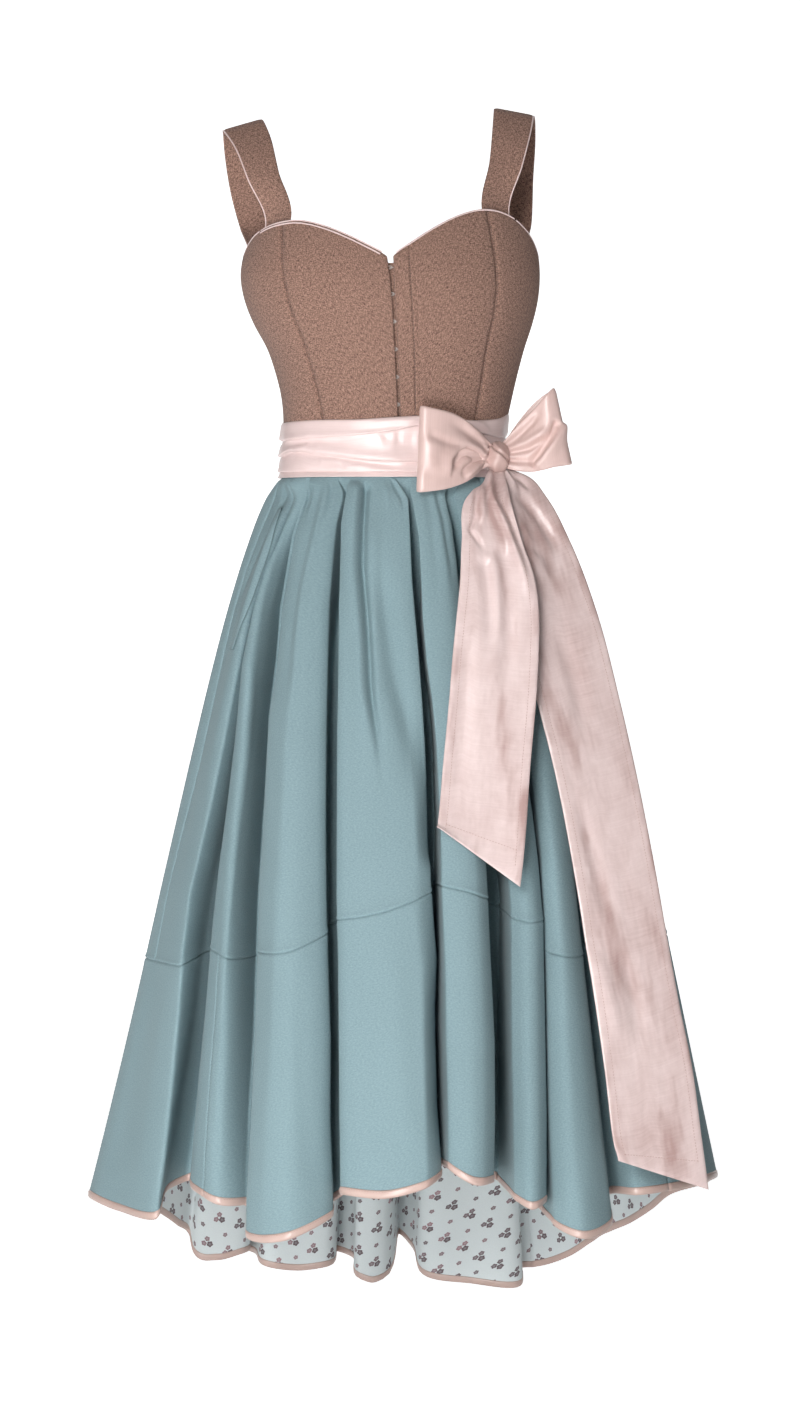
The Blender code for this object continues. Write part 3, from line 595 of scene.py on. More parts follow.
def repeatTree(name, sizes):
    # a node group whose named inputs are its sizes
    tree = bpy.data.node_groups.new(name, "GeometryNodeTree")
    tree.interface.new_socket("Geometry", in_out="INPUT", socket_type="NodeSocketGeometry")
    tree.interface.new_socket("Geometry", in_out="OUTPUT", socket_type="NodeSocketGeometry")
    keys = {}
    for size, kind in sizes.items():
        keys[size] = tree.interface.new_socket(size, in_out="INPUT", socket_type="NodeSocket" + kind).identifier

    def made(kind, **settings):
        node = tree.nodes.new(kind)
        for key, value in settings.items():
            setattr(node, key, value)
        return node

    def link(source, output, target, slot):
        tree.links.new(source.outputs[output], target.inputs[slot])

    def end(given, copies, finish):
        # the copies become real geometry in their material
        real, painted = made("GeometryNodeRealizeInstances"), made("GeometryNodeSetMaterial")
        link(copies, "Instances", real, "Geometry")
        link(real, "Geometry", painted, "Geometry")
        link(given, finish, painted, "Material")
        link(painted, "Geometry", made("NodeGroupOutput"), "Geometry")

    return tree, keys, made, link, end


def stitchTree():
    sizes = {"Spacing": "Float", "Length": "Float", "Radius": "Float", "Thread": "Material"}
    tree, keys, made, link, end = repeatTree("row_of_stitches", sizes)
    given = made("NodeGroupInput")
    curve, spread = made("GeometryNodeMeshToCurve"), made("GeometryNodeResampleCurve", mode="LENGTH")
    thread = made("GeometryNodeMeshUVSphere")
    thread.inputs["Segments"].default_value, thread.inputs["Rings"].default_value = 6, 3
    thread.inputs["Radius"].default_value = 1.0
    half = made("ShaderNodeMath", operation="MULTIPLY")
    half.inputs[1].default_value = 0.5
    size = made("ShaderNodeCombineXYZ")
    turned = made("FunctionNodeAlignRotationToVector", axis="Z")
    tangent, copies = made("GeometryNodeInputTangent"), made("GeometryNodeInstanceOnPoints")
    link(given, "Geometry", curve, "Mesh")
    link(curve, "Curve", spread, "Curve")
    link(given, "Spacing", spread, "Length")
    link(given, "Length", half, 0)
    link(given, "Radius", size, 0)
    link(given, "Radius", size, 1)
    link(half, 0, size, 2)
    link(tangent, 0, turned, "Vector")
    link(spread, "Curve", copies, "Points")
    link(thread, "Mesh", copies, "Instance")
    link(turned, "Rotation", copies, "Rotation")
    link(size, 0, copies, "Scale")
    end(given, copies, "Thread")
    return tree, keys


def grown(name, base, tree, values):
    # runs a node group on a base mesh and keeps the result as a plain piece
    carrier = bpy.data.objects.new(name, base)
    bpy.context.scene.collection.objects.link(carrier)
    modifier = carrier.modifiers.new(name, "NODES")
    modifier.node_group = tree
    for key, value in values.items():
        modifier[key] = value
    carrier.update_tag()
    bpy.context.view_layer.update()
    ready = carrier.evaluated_get(bpy.context.evaluated_depsgraph_get())
    mesh = bpy.data.meshes.new_from_object(ready)
    carrier.modifiers.remove(modifier)
    bpy.data.objects.remove(carrier)
    mesh.name = name
    return mesh


def sewn(name, paths, thread):
    corners = np.concatenate(paths)
    starts = np.concatenate([[0], np.cumsum([len(path) for path in paths])])
    edges = [(i, i + 1) for first, last in zip(starts[:-1], starts[1:]) for i in range(first, last - 1)]
    base = bpy.data.meshes.new(name + "_path")
    base.from_pydata(corners.tolist(), edges, [])
    tree, keys = stitchTree()
    mesh = grown(name, base, tree, {keys["Spacing"]: stitch["spacing"], keys["Length"]: stitch["length"],
                                    keys["Radius"]: stitch["radius"], keys["Thread"]: thread})
    mesh.shade_smooth()
    return dress(addPiece(name, mesh, thread))


# bodice
bodice = {
    "wall": 1.6 * mm, "rows": 64, "step": 3.2 * mm, "seamRoll": 2.7 * mm, "seamRollWidth": 1.9 * mm,
    "seamGap": 0.12 * mm, "seamBendZ": -200 * mm, "stand": 6 * mm,
    # angle from centre front, height of the top edge on the -X half and on the +X half
    "topEdge": [
        (0.0, -168, -168), (3.0, -162.5, -161.5), (9.0, -153.5, -149.5), (17.0, -142.5, -134.5),
        (26.0, -132.5, -121.5), (38.0, -124.5, -112.5), (53.0, -126, -117), (67.0, -135, -132),
        (84.0, -153, -152), (96.0, -154, -155), (112.0, -147, -147), (130.0, -150, -150),
        (155.0, -162, -162), (180.0, -166, -166),
    ],
    # angle of each seam at the bust and at the waist
    "seams": {"side": (96, 96), "back": (146, 152), "centre": (180, 180)},
    # z, and the angles of the two seams over the bust
    "princess": [(-395, 36.9, 44.2), (-339, 38.8, 44.6), (-298, 42.1, 44.4), (-260, 43.7, 43.9), (-230, 43.8, 44.4),
                 (-200, 43.0, 44.0), (-175, 43.5, 43.0), (-139, 46.0, 41.4), (-112, 49.0, 40.5)],
    # z, and x of the opening's two edges
    "opening": [(-395, 6.6, 8.8), (-337, 5.8, 8.3), (-303, 4.3, 7.1), (-277, 3.0, 6.2), (-245, 1.3, 4.7),
                (-220, 0.1, 3.4), (-203, -1.5, 2.2), (-191, -2.4, 1.4), (-177, -4.4, 0.9), (-160, -7.0, 0.4)],
    # z and x of the stitched line beside the opening
    "facing": [(-395, 24.6), (-316, 24.2), (-290, 23.8), (-264, 23.2), (-245, 22.3), (-225, 21.4), (-201, 19.7),
               (-185, 18.8), (-160, 17.5)],
    "creases": [
        crease(5, -0.9, (-104, -322), (-86, -330), (-60, -331)),
        crease(5, -0.7, (-50, -318), (-30, -328), (-6, -331)),
        crease(5, -0.9, (100, -318), (80, -327), (52, -329)),
        crease(7, -0.8, (-88, -215), (-97, -232), (-104, -262)),
        crease(9, -0.7, (-76, -205), (-62, -222), (-56, -250)),
        crease(7, -0.8, (118, -222), (112, -250), (104, -280)),
        crease(9, -0.6, (66, -196), (58, -222), (60, -252)),
        crease(12, 0.7, (-40, -190), (-34, -240), (-38, -300)),
        crease(12, 0.6, (60, -180), (66, -240), (62, -300)),
        crease(5, -0.9, (-84, -320), (-60, -329), (-30, -330), view="back"),
        crease(5, -0.9, (86, -318), (62, -327), (28, -331), view="back"),
        crease(12, 0.7, (-30, -200), (-36, -250), (-32, -300), view="back"),
        crease(12, 0.7, (40, -196), (36, -250), (42, -300), view="back"),
    ],
}


def topEdge(angle):
    a = (np.asarray(angle, float) + 180) % 360 - 180
    table = np.array(bodice["topEdge"], float)
    found = smooth(np.abs(a), table[:, 0], table[:, 1:]) * mm
    return np.where(a > 0, found[..., 1], found[..., 0])


def seamAngle(name, side, clearance):
    def angle(z):
        if name == "princess":
            table = np.array(bodice["princess"], float)
            seam = side * np.interp(z / mm, table[:, 0], table[:, 1 if side < 0 else 2])
        else:
            bust, waist = bodice["seams"][name]
            share = np.clip((bodice["seamBendZ"] - z) / (bodice["seamBendZ"] - body["waistZ"]), 0, 1)
            seam = side * (bust + (waist - bust) * share)
        degree = np.linalg.norm(bodyPoint(seam + 0.5, z) - bodyPoint(seam - 0.5, z), axis=-1)
        return seam + clearance * bodice["seamGap"] / degree
    return angle


def openingAngle(side):
    table = np.array(bodice["opening"], float)
    return lambda z: bodyAngle(np.interp(z / mm, table[:, 0], table[:, 1 if side < 0 else 2]) * mm, z)


def crowded(count):
    # shares from 0 to 1, with a few more of them close to both ends
    ends = (0.004, 0.010, 0.018)
    return np.concatenate([[0], ends, np.linspace(0.03, 0.97, count), [1 - end for end in ends[::-1]], [1]])


def bodicePanel(name, first, last, flat, opening):
    middleZ = -200 * mm
    width = np.linalg.norm(bodyPoint(first(middleZ), middleZ) - bodyPoint(last(middleZ), middleZ))
    across = crowded(int(width / bodice["step"]))
    if opening > 0:
        across = np.sort(np.concatenate([across, np.linspace(0.105, 0.275, 34)]))
    across = across[None, :]
    share = crowded(bodice["rows"])[:, None]
    z = np.full((share.shape[0], across.shape[1]), middleZ)
    for _ in range(4):
        angle = first(z) * (1 - across) + last(z) * across
        top, bottom = topEdge(angle), waistZ(angle) + bodice["stand"] + 1.5 * mm
        z = top + (bottom - top) * share
    points, normals = bodyPoint(angle, z), bodyOutward(angle, z)
    # the cloth turns under at its seams, and less at its top edge
    sideways = np.moveaxis(reach(np.moveaxis(points, 1, 0)), 0, 1)
    fromEdge = np.minimum(sideways, sideways[:, -1:] - sideways)
    if opening:
        # the open edge is folded flat, so it isn't rolled as deep
        free = sideways if opening > 0 else sideways[:, -1:] - sideways
        fromEdge = np.where(free < 20 * mm, free * 2.0 + 1.2 * mm, fromEdge)
    roll = hump(fromEdge, bodice["seamRollWidth"]) * bodice["seamRoll"] + hump(reach(points), 2.0 * mm) * 0.5 * mm
    crown = ease(fromEdge, 0, 14 * mm) * 0.5 * mm
    points = points + normals * (crown - roll)[..., None]
    points = creased(points, normals, bodice["creases"])
    if opening > 0:
        # stitched facing beside the opening: a shallow groove, then the cloth lies a little lower
        line = np.array(bodice["facing"], float) * mm
        aside = points[..., 0] - np.interp(z, line[:, 0], line[:, 1])
        groove = (1 - ease(aside, -1.5 * mm, 1.5 * mm)) * 0.45 * mm - hump(aside, 1.0 * mm) * 1.3 * mm
        groove -= hump(aside - 5.5 * mm, 1.2 * mm) * 0.4 * mm
        points = points + normals * groove[..., None]
    piece = clothPiece(name, points, bodice["wall"] * 0.9, brown, normals=normals, lip=0.3)
    return dress(piece, [name], flat, held="stretched")


def makeBodice():
    flats = {
        # width, length and area
        "front_centre": (0.133, 0.282, 0.0278), "front_side": (0.122, 0.281, 0.0273),
        "back_side": (0.110, 0.247, 0.0245), "back_centre": (0.098, 0.232, 0.0179),
    }
    for side, word in ((-1, "left"), (1, "right")):
        opening = openingAngle(side)
        spans = [("front_centre", opening, "princess"), ("front_side", "princess", "side"),
                 ("back_side", "side", "back"), ("back_centre", "back", "centre")]
        for part, inner, outer in spans:
            first = inner if callable(inner) else seamAngle(inner, side, side)
            last = seamAngle(outer, side, -side)
            edges = (first, last) if side > 0 else (last, first)
            name = "bodice_" + part + "_" + word
            bodicePanel(name, *edges, flats[part], side if part == "front_centre" else 0)


placket = {
    "halfWidth": 13 * mm, "inset": 5.4 * mm, "wall": 1.1 * mm, "top": -172 * mm, "bottom": -390 * mm,
    "rows": 60, "columns": 14, "flat": (0.026, 0.221),
}


def makePlacket():
    share = np.linspace(0, 1, placket["rows"])[:, None]
    z = placket["top"] + (placket["bottom"] - placket["top"]) * share
    middle = np.interp(z, *np.array(bodice["opening"], float)[:, :2].T * mm) + 1.2 * mm
    x = middle + np.linspace(-1, 1, placket["columns"])[None, :] * placket["halfWidth"]
    angle = bodyAngle(x, z)
    points = bodyPoint(angle, z) - bodyOutward(angle, z) * placket["inset"]
    piece = clothPiece("bodice_under_placket", points, placket["wall"], brown)
    return dress(piece, ["bodice_under_placket"], placket["flat"], held="stretched")


hooks = {"heights": (-178, -207, -236, -265, -294, -323), "wire": 0.5 * mm, "eyeRadius": 1.5 * mm, "reach": 1.7 * mm,
         "hookRadius": 0.7 * mm, "behind": 1.3 * mm}


def hookTree():
    tree, keys, made, link, end = repeatTree("hooks_down_the_opening", {"Hook": "Object", "Metal": "Material"})
    given = made("NodeGroupInput")
    hook, copies = made("GeometryNodeObjectInfo", transform_space="ORIGINAL"), made("GeometryNodeInstanceOnPoints")
    link(given, "Hook", hook, "Object")
    link(given, "Geometry", copies, "Points")
    link(hook, "Geometry", copies, "Instance")
    end(given, copies, "Metal")
    return tree, keys


def makeHooks():
    # each is a bent wire hook on one edge in a wire eye on the other, under the edges' fold
    r, tight, length = hooks["eyeRadius"], hooks["hookRadius"], hooks["reach"]
    bend = np.linspace(-math.pi / 2, math.pi / 2, 9)
    eye = [(-length - r * 1.6, 0, -r)]
    eye += [(-length * 0.4 + r * math.cos(a), 0, r * math.sin(a)) for a in bend]
    eye += [(-length - r * 1.6, 0, r)]
    hook = [(length + r * 1.6, 0, 0), (length * 0.5, -0.1 * mm, 0)]
    hook += [(-r * 0.3 - tight * math.cos(a), tight - tight * math.sin(a), 0) for a in -bend]
    hook += [(length * 0.9, tight * 2, 0)]
    wires = tubeMesh("hook_wire", [np.array(eye), np.array(hook)], hooks["wire"], 6)
    single = bpy.data.objects.new("hook_wire", wires)
    bpy.context.scene.collection.objects.link(single)
    z = np.array(hooks["heights"], float) * mm
    table = np.array(bodice["opening"], float) * mm
    x = (np.interp(z, table[:, 0], table[:, 1]) + np.interp(z, table[:, 0], table[:, 2])) / 2
    angle = bodyAngle(x, z)
    places = bodyPoint(angle, z) - bodyOutward(angle, z) * hooks["behind"]
    base = bpy.data.meshes.new("hook_places")
    base.from_pydata(places.tolist(), [], [])
    tree, keys = hookTree()
    mesh = grown("hooks_and_eyes", base, tree, {keys["Hook"]: single, keys["Metal"]: hookMetal})
    bpy.data.objects.remove(single)
    return dress(addPiece("hooks_and_eyes", mesh, hookMetal))


def sewBodice():
    # a row beside the opening and one along each seam over the bust
    z = np.linspace(-166, -392, 60) * mm
    rows = [(bodyAngle(np.interp(z, *np.array(bodice["facing"], float).T * mm), z), z, 0.15 * mm)]
    for side, top in ((-1, -122), (1, -112)):
        z = np.linspace(top, -392, 90) * mm
        rows.append((seamAngle("princess", side, 0)(z), z, 0.8 * mm))
    for angle, z, depth in rows:
        brownStitches.append(bodyPoint(angle, z) - bodyOutward(angle, z) * depth)


print("bodice")
makeBodice()
makePlacket()
makeHooks()
sewBodice()


# straps
straps = {
    "wall": 2.0 * mm, "rows": 110, "columns": 15, "footDepths": (-16, -6, 5), "footInset": 2.8 * mm,
    "edgeRoll": 0.7 * mm, "edgeWidth": 2.2 * mm, "pipingRadius": 0.8 * mm,
    "left": {
        "sign": -1, "frontFoot": (45, 61), "backFoot": (120, 98), "flat": (0.044, 0.370, 0.0151),
        # xInner, xOuter, y, zInner, zOuter
        "path": [
            (-125, -157, -50, -66, -74), (-135, -173, -28, -24, -34), (-144, -186, -6, -2, -14),
            (-145, -187, 16, -2, -14), (-141, -186, 38, -24, -34), (-136, -180, 48, -66, -74),
            (-134, -169, 50, -112, -116),
        ],
    },
    "right": {
        "sign": 1, "frontFoot": (39, 54), "backFoot": (132, 110), "flat": (0.044, 0.373, 0.0151),
        "path": [
            (106, 140, -50, -54, -59), (110, 150, -28, -12, -19), (112, 154, -6, 10, 2), (113, 156, 16, 10, 2),
            (114, 157, 38, -12, -19), (115, 155, 50, -54, -59), (117, 153, 50, -106, -110),
        ],
    },
    "creases": [
        crease(6, -0.7, (-112, -96), (-120, -72), (-130, -46)),
        crease(6, 0.6, (-150, -60), (-146, -84), (-140, -108)),
        crease(6, -0.7, (118, -90), (124, -60), (128, -30)),
        crease(6, -0.7, (-150, -40), (-152, -70), (-148, -104), view="back"),
        crease(6, -0.7, (132, -36), (136, -66), (132, -100), view="back"),
    ],
}


def strapFoot(side, angles, down):
    edges = []
    for angle in angles:
        z = topEdge(side * angle) + down
        edges.append(bodyPoint(side * angle, z) - bodyOutward(side * angle, z) * straps["footInset"])
    return np.concatenate(edges)


def makeStraps():
    pipes = []
    for word in ("left", "right"):
        strap = straps[word]
        side = strap["sign"]
        pairs = [strapFoot(side, strap["frontFoot"], d * mm) for d in straps["footDepths"]]
        pairs += [np.array([a, y, za, b, y, zb]) * mm for a, b, y, za, zb in strap["path"]]
        pairs += [strapFoot(side, strap["backFoot"], d * mm) for d in straps["footDepths"][::-1]]
        path = along(pairs, straps["rows"])
        t = np.linspace(0, 1, straps["columns"])
        t = 0.5 - 0.5 * np.cos(math.pi * t) * (0.55 + 0.45 * np.abs(np.cos(math.pi * t)))
        t = t[None, :, None]
        grid = path[:, None, :3] * (1 - t) + path[:, None, 3:] * t
        if side == 1:
            grid = grid[:, ::-1]
        normals = gridNormals(grid)
        grid = rolledEdge(grid, normals, straps["edgeWidth"], straps["edgeRoll"])
        grid = creased(grid, normals, straps["creases"])
        piece = clothPiece("strap_" + word, grid, straps["wall"], brown, normals=normals, lip=0.5)
        dress(piece, ["strap_" + word], strap["flat"], held="stretched")
        outer = path[:, 3:] + unit(path[:, 3:] - path[:, :3]) * 0.5 * mm
        inward = normals[:, 0 if side == 1 else -1]
        pipes.append(outer - inward * straps["wall"] * 0.5)
    mesh = tubeMesh("strap_piping", pipes, straps["pipingRadius"], 8)
    return dress(addPiece("strap_piping", mesh, satin))


# piping on the bodice's edge
piping = {
    "radius": 1.15 * mm, "lift": 0.9 * mm, "points": 90,
    "runs": {
        "piping_neck_left": (-62, -3.4), "piping_neck_right": (2.6, 56), "piping_armhole_left": (-100, -63.5),
        "piping_armhole_right": (57.5, 108), "piping_back": (110, 258),
    },
}


def edgeLine(first, last, count, lift, inset):
    angle = np.linspace(first, last, count)
    z = topEdge(angle)
    outward = bodyOutward(angle, z)
    ahead = bodyPoint(angle + 0.5, topEdge(angle + 0.5)) - bodyPoint(angle - 0.5, topEdge(angle - 0.5))
    above = unit(np.cross(outward, ahead))
    above *= np.sign(above[:, 2:])
    return bodyPoint(angle, z) - outward * bodice["wall"] * inset + above * lift


def makePiping():
    for name, (first, last) in piping["runs"].items():
        lines, radius = [edgeLine(first, last, piping["points"], piping["lift"], 0.35)], piping["radius"]
        if name == "piping_neck_left":      # a second row shows below the first
            lines.append(edgeLine(first, last, piping["points"], piping["lift"] - 3.2 * mm, -0.10))
            radius *= 0.8
        mesh = tubeMesh(name, lines, radius, 10)
        dress(addPiece(name, mesh, satin), [name])


print("straps and piping")
makeStraps()
makePiping()


# skirt
skirt = {
    "linesBegin": (394 * mm, 425 * mm),       # below the origin: from here down the folds follow their lines
    "leanBack": {"from": -20 * mm, "over": 60 * mm, "share": 0.9},
    "gapWall": 0.34, "gapUnder": (0.24, 0.66),      # shares of the way across a gap
    # height, distance from the seam and width, in millimetres
    "seamShape": {"above": (0.75, -2.0, 2.6), "below": (0.30, 4.0, 3.0), "groove": (1.35, 0.0, 1.0)},
    "uprightSeam": {"width": 1.8 * mm, "depth": 0.9 * mm},
    "wall": 1.5 * mm, "upperRows": 74, "lip": 0.3,
    # columns between a fold's five hem points and the next fold's first: in front, in the widest fold, behind
    "frontSpans": (18, 18, 8, 6, 8), "wideSpans": (28, 28, 8, 6, 8), "backSpans": (9, 9, 7, 6, 7), "wideFold": 3,
    "frontFolds": 8, "flounceRows": 44, "bindingDepth": 7.6 * mm,
    "liningGap": 0.3 * mm, "liningWall": 1.0 * mm, "stand": 6 * mm,
    "depthSpread": 0.84, "spreadGrowth": 0.36, "runShares": (0.16, 0.46, 0.76, 0.93, 1.0),
    # each fold from the -X side round by the front: the waist angle where it ends, how fast it spreads, and its
    # hem: start, middle and end of its face, then in and out of the turn behind it, as x, y, z, seam's share
    "folds": [
        (-60, 0.70, ((-334, -20, -1184, 0.668), (-300, -100, -1188, 0.665), (-254, -170, -1186, 0.666),
                     (-246, -112, -1166, 0.672), (-226, -82, -1160, 0.674))),
        (-44, 0.48, ((-205, -185, -1160, 0.670), (-182, -205, -1168, 0.671), (-158, -202, -1170, 0.670),
                     (-148, -180, -1168, 0.668), (-145, -192, -1172, 0.650))),
        (-25, 0.37, ((-151, -248, -1196, 0.636), (-105, -292, -1191, 0.634), (-62, -264, -1173, 0.628),
                     (-45, -226, -1163, 0.622), (-47, -222, -1158, 0.622))),
        (4, 0.35, ((-54, -266, -1149, 0.628), (-5, -298, -1148, 0.616), (47, -285, -1131, 0.604),
                   (59, -252, -1121, 0.602), (61, -246, -1119, 0.602))),
        (33, 0.38, ((57, -272, -1122, 0.602), (80, -282, -1136, 0.598), (104, -262, -1138, 0.609),
                    (112, -156, -1130, 0.624), (124, -122, -1128, 0.626))),
        (48, 0.46, ((128, -222, -1161, 0.618), (143, -238, -1168, 0.618), (160, -220, -1164, 0.620),
                    (165, -178, -1160, 0.628), (166, -168, -1162, 0.632))),
        (66, 0.50, ((168, -212, -1189, 0.641), (194, -230, -1199, 0.639), (228, -195, -1193, 0.646),
                    (234, -138, -1172, 0.655), (238, -124, -1168, 0.656))),
        (97, 0.51, ((256, -142, -1166, 0.656), (306, -108, -1164, 0.656), (350, -40, -1162, 0.652),
                    (357, 10, -1166, 0.654), (346, 56, -1180, 0.656))),
        (118, 0.58, ((314, 84, -1194, 0.658), (294, 122, -1217, 0.662), (274, 162, -1237, 0.666),
                     (256, 200, -1252, 0.670), (246, 222, -1260, 0.672))),
        (137, 0.56, ((234, 240, -1270, 0.672), (206, 272, -1293, 0.676), (164, 298, -1309, 0.680),
                     (148, 302, -1310, 0.682), (150, 280, -1318, 0.682))),
        (166, 0.52, ((147, 256, -1325, 0.680), (90, 252, -1321, 0.682), (36, 258, -1312, 0.684),
                     (25, 302, -1288, 0.690), (8, 333, -1274, 0.694))),
        (187, 0.52, ((-14, 262, -1318, 0.684), (-25, 257, -1321, 0.684), (-38, 258, -1317, 0.684),
                     (-46, 302, -1299, 0.688), (-66, 327, -1294, 0.690))),
        (212, 0.56, ((-78, 262, -1303, 0.682), (-112, 258, -1307, 0.682), (-150, 254, -1301, 0.680),
                     (-162, 292, -1292, 0.682), (-176, 314, -1290, 0.682))),
        (237, 0.60, ((-177, 236, -1284, 0.676), (-206, 226, -1290, 0.674), (-229, 226, -1285, 0.672),
                     (-239, 236, -1264, 0.670), (-254, 212, -1247, 0.668))),
        (262, 0.70, ((-271, 168, -1226, 0.668), (-290, 112, -1208, 0.668), (-312, 66, -1197, 0.668),
                     (-326, 36, -1191, 0.668), (-333, 8, -1187, 0.668))),
    ],
    # x of a fold's far edge and of the next fold's near edge, down their lines
    "edges": {
        0: (((-107, -414), (-127, -456), (-142, -495), (-156, -541), (-167, -602), (-182, -688), (-194, -748),
             (-206, -801), (-216, -844), (-223, -907), (-227, -974), (-234, -1057), (-241, -1126),
             (-247, -1172)),
            ((-103, -414), (-120, -456), (-135, -495), (-149, -541), (-161, -602), (-168, -688), (-174, -748),
             (-181, -812), (-188, -889), (-193, -968), (-199, -1044), (-203, -1113), (-205, -1156))),
        1: (((-88, -407), (-100, -431), (-111, -460), (-117, -490), (-126, -540), (-131, -600), (-139, -658),
             (-141, -717), (-145, -774), (-149, -849), (-150, -913), (-151, -996), (-154, -1077),
             (-155, -1152)),
            ((-84, -407), (-94, -431), (-105, -460), (-110, -490), (-119, -540), (-124, -600), (-133, -658),
             (-136, -717), (-138, -774), (-142, -841), (-143, -913), (-145, -996), (-148, -1077),
             (-152, -1158))),
        2: (((-52, -412), (-61, -452), (-64, -482), (-68, -541), (-69, -600), (-70, -687), (-70, -773),
             (-69, -848), (-67, -912), (-64, -994), (-64, -1075), (-61, -1144)),
            ((-49, -412), (-56, -452), (-56, -482), (-58, -541), (-58, -600), (-59, -687), (-59, -773),
             (-59, -848), (-57, -912), (-56, -994), (-55, -1075), (-54, -1139))),
        3: (((6, -400), (9, -408), (17, -425), (19, -467), (21, -512), (25, -556), (29, -600), (32, -644),
             (35, -687), (37, -730), (39, -773), (42, -834), (47, -880), (51, -913), (52, -990), (54, -1067),
             (55, -1112)),
            ((9, -400), (12, -408), (21, -425), (28, -467), (30, -512), (32, -556), (36, -600), (42, -644),
             (46, -687), (48, -730), (50, -773), (51, -834), (54, -913), (55, -990), (57, -1067), (57, -1112))),
        4: (((54, -410), (65, -452), (70, -488), (79, -576), (89, -683), (97, -767), (102, -823), (103, -849),
             (106, -915), (109, -993), (109, -1072), (107, -1133)),
            ((62, -410), (74, -452), (82, -488), (94, -576), (106, -683), (116, -767), (122, -823),
             (125, -862), (125, -915), (125, -993), (126, -1072), (127, -1157))),
        5: (((91, -406), (107, -457), (117, -522), (128, -597), (138, -678), (150, -757), (156, -810),
             (161, -873), (162, -970), (163, -1075), (162, -1160)),
            ((94, -406), (111, -457), (122, -522), (132, -597), (142, -678), (153, -757), (159, -810),
             (163, -905), (164, -996), (165, -1075), (169, -1184))),
    },
    # how far back the cloth turns between two folds: z and depth, and how far it goes on under the next fold
    "gaps": {
        1: (4, ((-398, 0), (-412, 3), (-440, 10), (-500, 24), (-700, 44), (-1180, 40))),
        2: (4, ((-398, 0), (-410, 5), (-430, 17), (-470, 36), (-540, 58), (-700, 74), (-1000, 80), (-1180, 64))),
        3: (5, ((-398, 0), (-410, 5), (-430, 17), (-470, 36), (-540, 58), (-700, 74), (-1000, 78), (-1180, 56))),
        4: (7, ((-398, 0), (-412, 4), (-440, 14), (-500, 36), (-700, 76), (-1150, 116))),
        5: (4, ((-398, 0), (-412, 3), (-440, 8), (-500, 18), (-700, 38), (-1180, 54))),
    },
    # facets that lean back beside a fold's edge: fold, side of the face, width, how round, and depth down its length
    "facets": [
        (1, 1, 32, 0.8, ((-398, 0), (-420, 10), (-450, 26), (-500, 48), (-570, 66), (-660, 78), (-800, 82),
                         (-960, 62), (-1170, 16))),
        (2, -1, 19, 0.1, ((-398, 0), (-430, 4), (-470, 9), (-540, 14), (-650, 16), (-900, 15), (-1020, 9),
                          (-1180, 3))),
        (3, 1, 15, 0.6, ((-398, 0), (-480, 1), (-640, 4), (-720, 12), (-775, 22), (-800, 24), (-816, 5), (-1120, 0))),
        (3, 1, 20, 0.6, ((-798, 0), (-900, 20), (-960, 36), (-1060, 40), (-1120, 22))),
        (3, -1, 7, 0.2, ((-398, 0), (-430, 1), (-480, 2), (-900, 2), (-1100, 1))),
        (4, 1, 15, 0.7, ((-398, 0), (-430, 3), (-470, 6), (-640, 10), (-900, 12), (-1120, 8))),
        (1, -1, 13, 0.4, ((-398, 0), (-470, 3), (-560, 9), (-700, 14), (-900, 14), (-1100, 8))),
        (2, 1, 9, 0.8, ((-398, 0), (-470, 3), (-700, 4), (-1100, 4))),
        (5, -1, 9, 0.2, ((-398, 0), (-600, 1), (-900, 2), (-1100, 2))),
        (5, 1, 12, 0.8, ((-398, 0), (-500, 4), (-700, 8), (-1100, 8))),
        (6, -1, 12, 0.2, ((-398, 0), (-700, 2), (-900, 5), (-1150, 3))),
    ],
    "turnDepths": {
        0: ((-400, 0), (-440, 7), (-500, 13), (-600, 18), (-800, 20), (-1000, 14), (-1180, 0)),
        6: ((-400, 0), (-440, 5), (-600, 12), (-900, 16), (-1180, 8)),
        8: ((-400, 0), (-440, 6), (-600, 12), (-900, 12), (-1260, 4)),
        9: ((-400, 0), (-440, 7), (-600, 14), (-900, 16), (-1300, 6)),
        10: ((-400, 0), (-440, 8), (-600, 16), (-900, 12), (-1300, 4)),
        11: ((-400, 0), (-440, 7), (-600, 14), (-900, 14), (-1300, 4)),
        12: ((-400, 0), (-440, 8), (-600, 15), (-900, 12), (-1300, 4)),
        13: ((-400, 0), (-440, 6), (-600, 11), (-900, 10), (-1280, 4)),
    },
    "creases": [
        crease(13, 6.5, (-33, -405), (-36, -453), (-37, -497), (-33, -541), (-30, -585), (-28, -629), (-19, -687),
               (-14, -740), fade=(0.02, 0.35), pleat=-1),
        crease(5, -10, (-30, -405), (-33, -453), (-34, -497), (-30, -541), (-27, -585), (-25, -629), (-16, -687),
               (-11, -740), fade=(0.02, 0.4)),
        crease(7, 1.4, (-44, -410), (-46, -458), (-47, -512), (-45, -577), (-39, -640), fade=(0.1, 0.5)),
        crease(13, -9, (-18, -469), (-13, -512), (-4, -570), (4, -615), (16, -658), (24, -704), (30, -750),
               fade=(0.3, 0.35)),
        crease(7, 2.2, (-23, -426), (-20, -491), (-16, -555), (-8, -630), fade=(0.2, 0.5)),
        crease(4, 1.8, (-72, -407), (-81, -452), (-89, -490), (-95, -517), (-101, -570), (-105, -629), (-111, -687),
               (-114, -774), (-117, -849), (-123, -956), fade=(0.02, 0.4)),
        crease(5, -1.2, (-79, -409), (-87, -452), (-96, -490), (-103, -523), (-109, -570), (-113, -629),
               (-119, -687), fade=(0.02, 0.4)),
        crease(2.2, -2.4, (-88, -407), (-92, -427), (-96, -446), fade=(0.02, 0.6)),
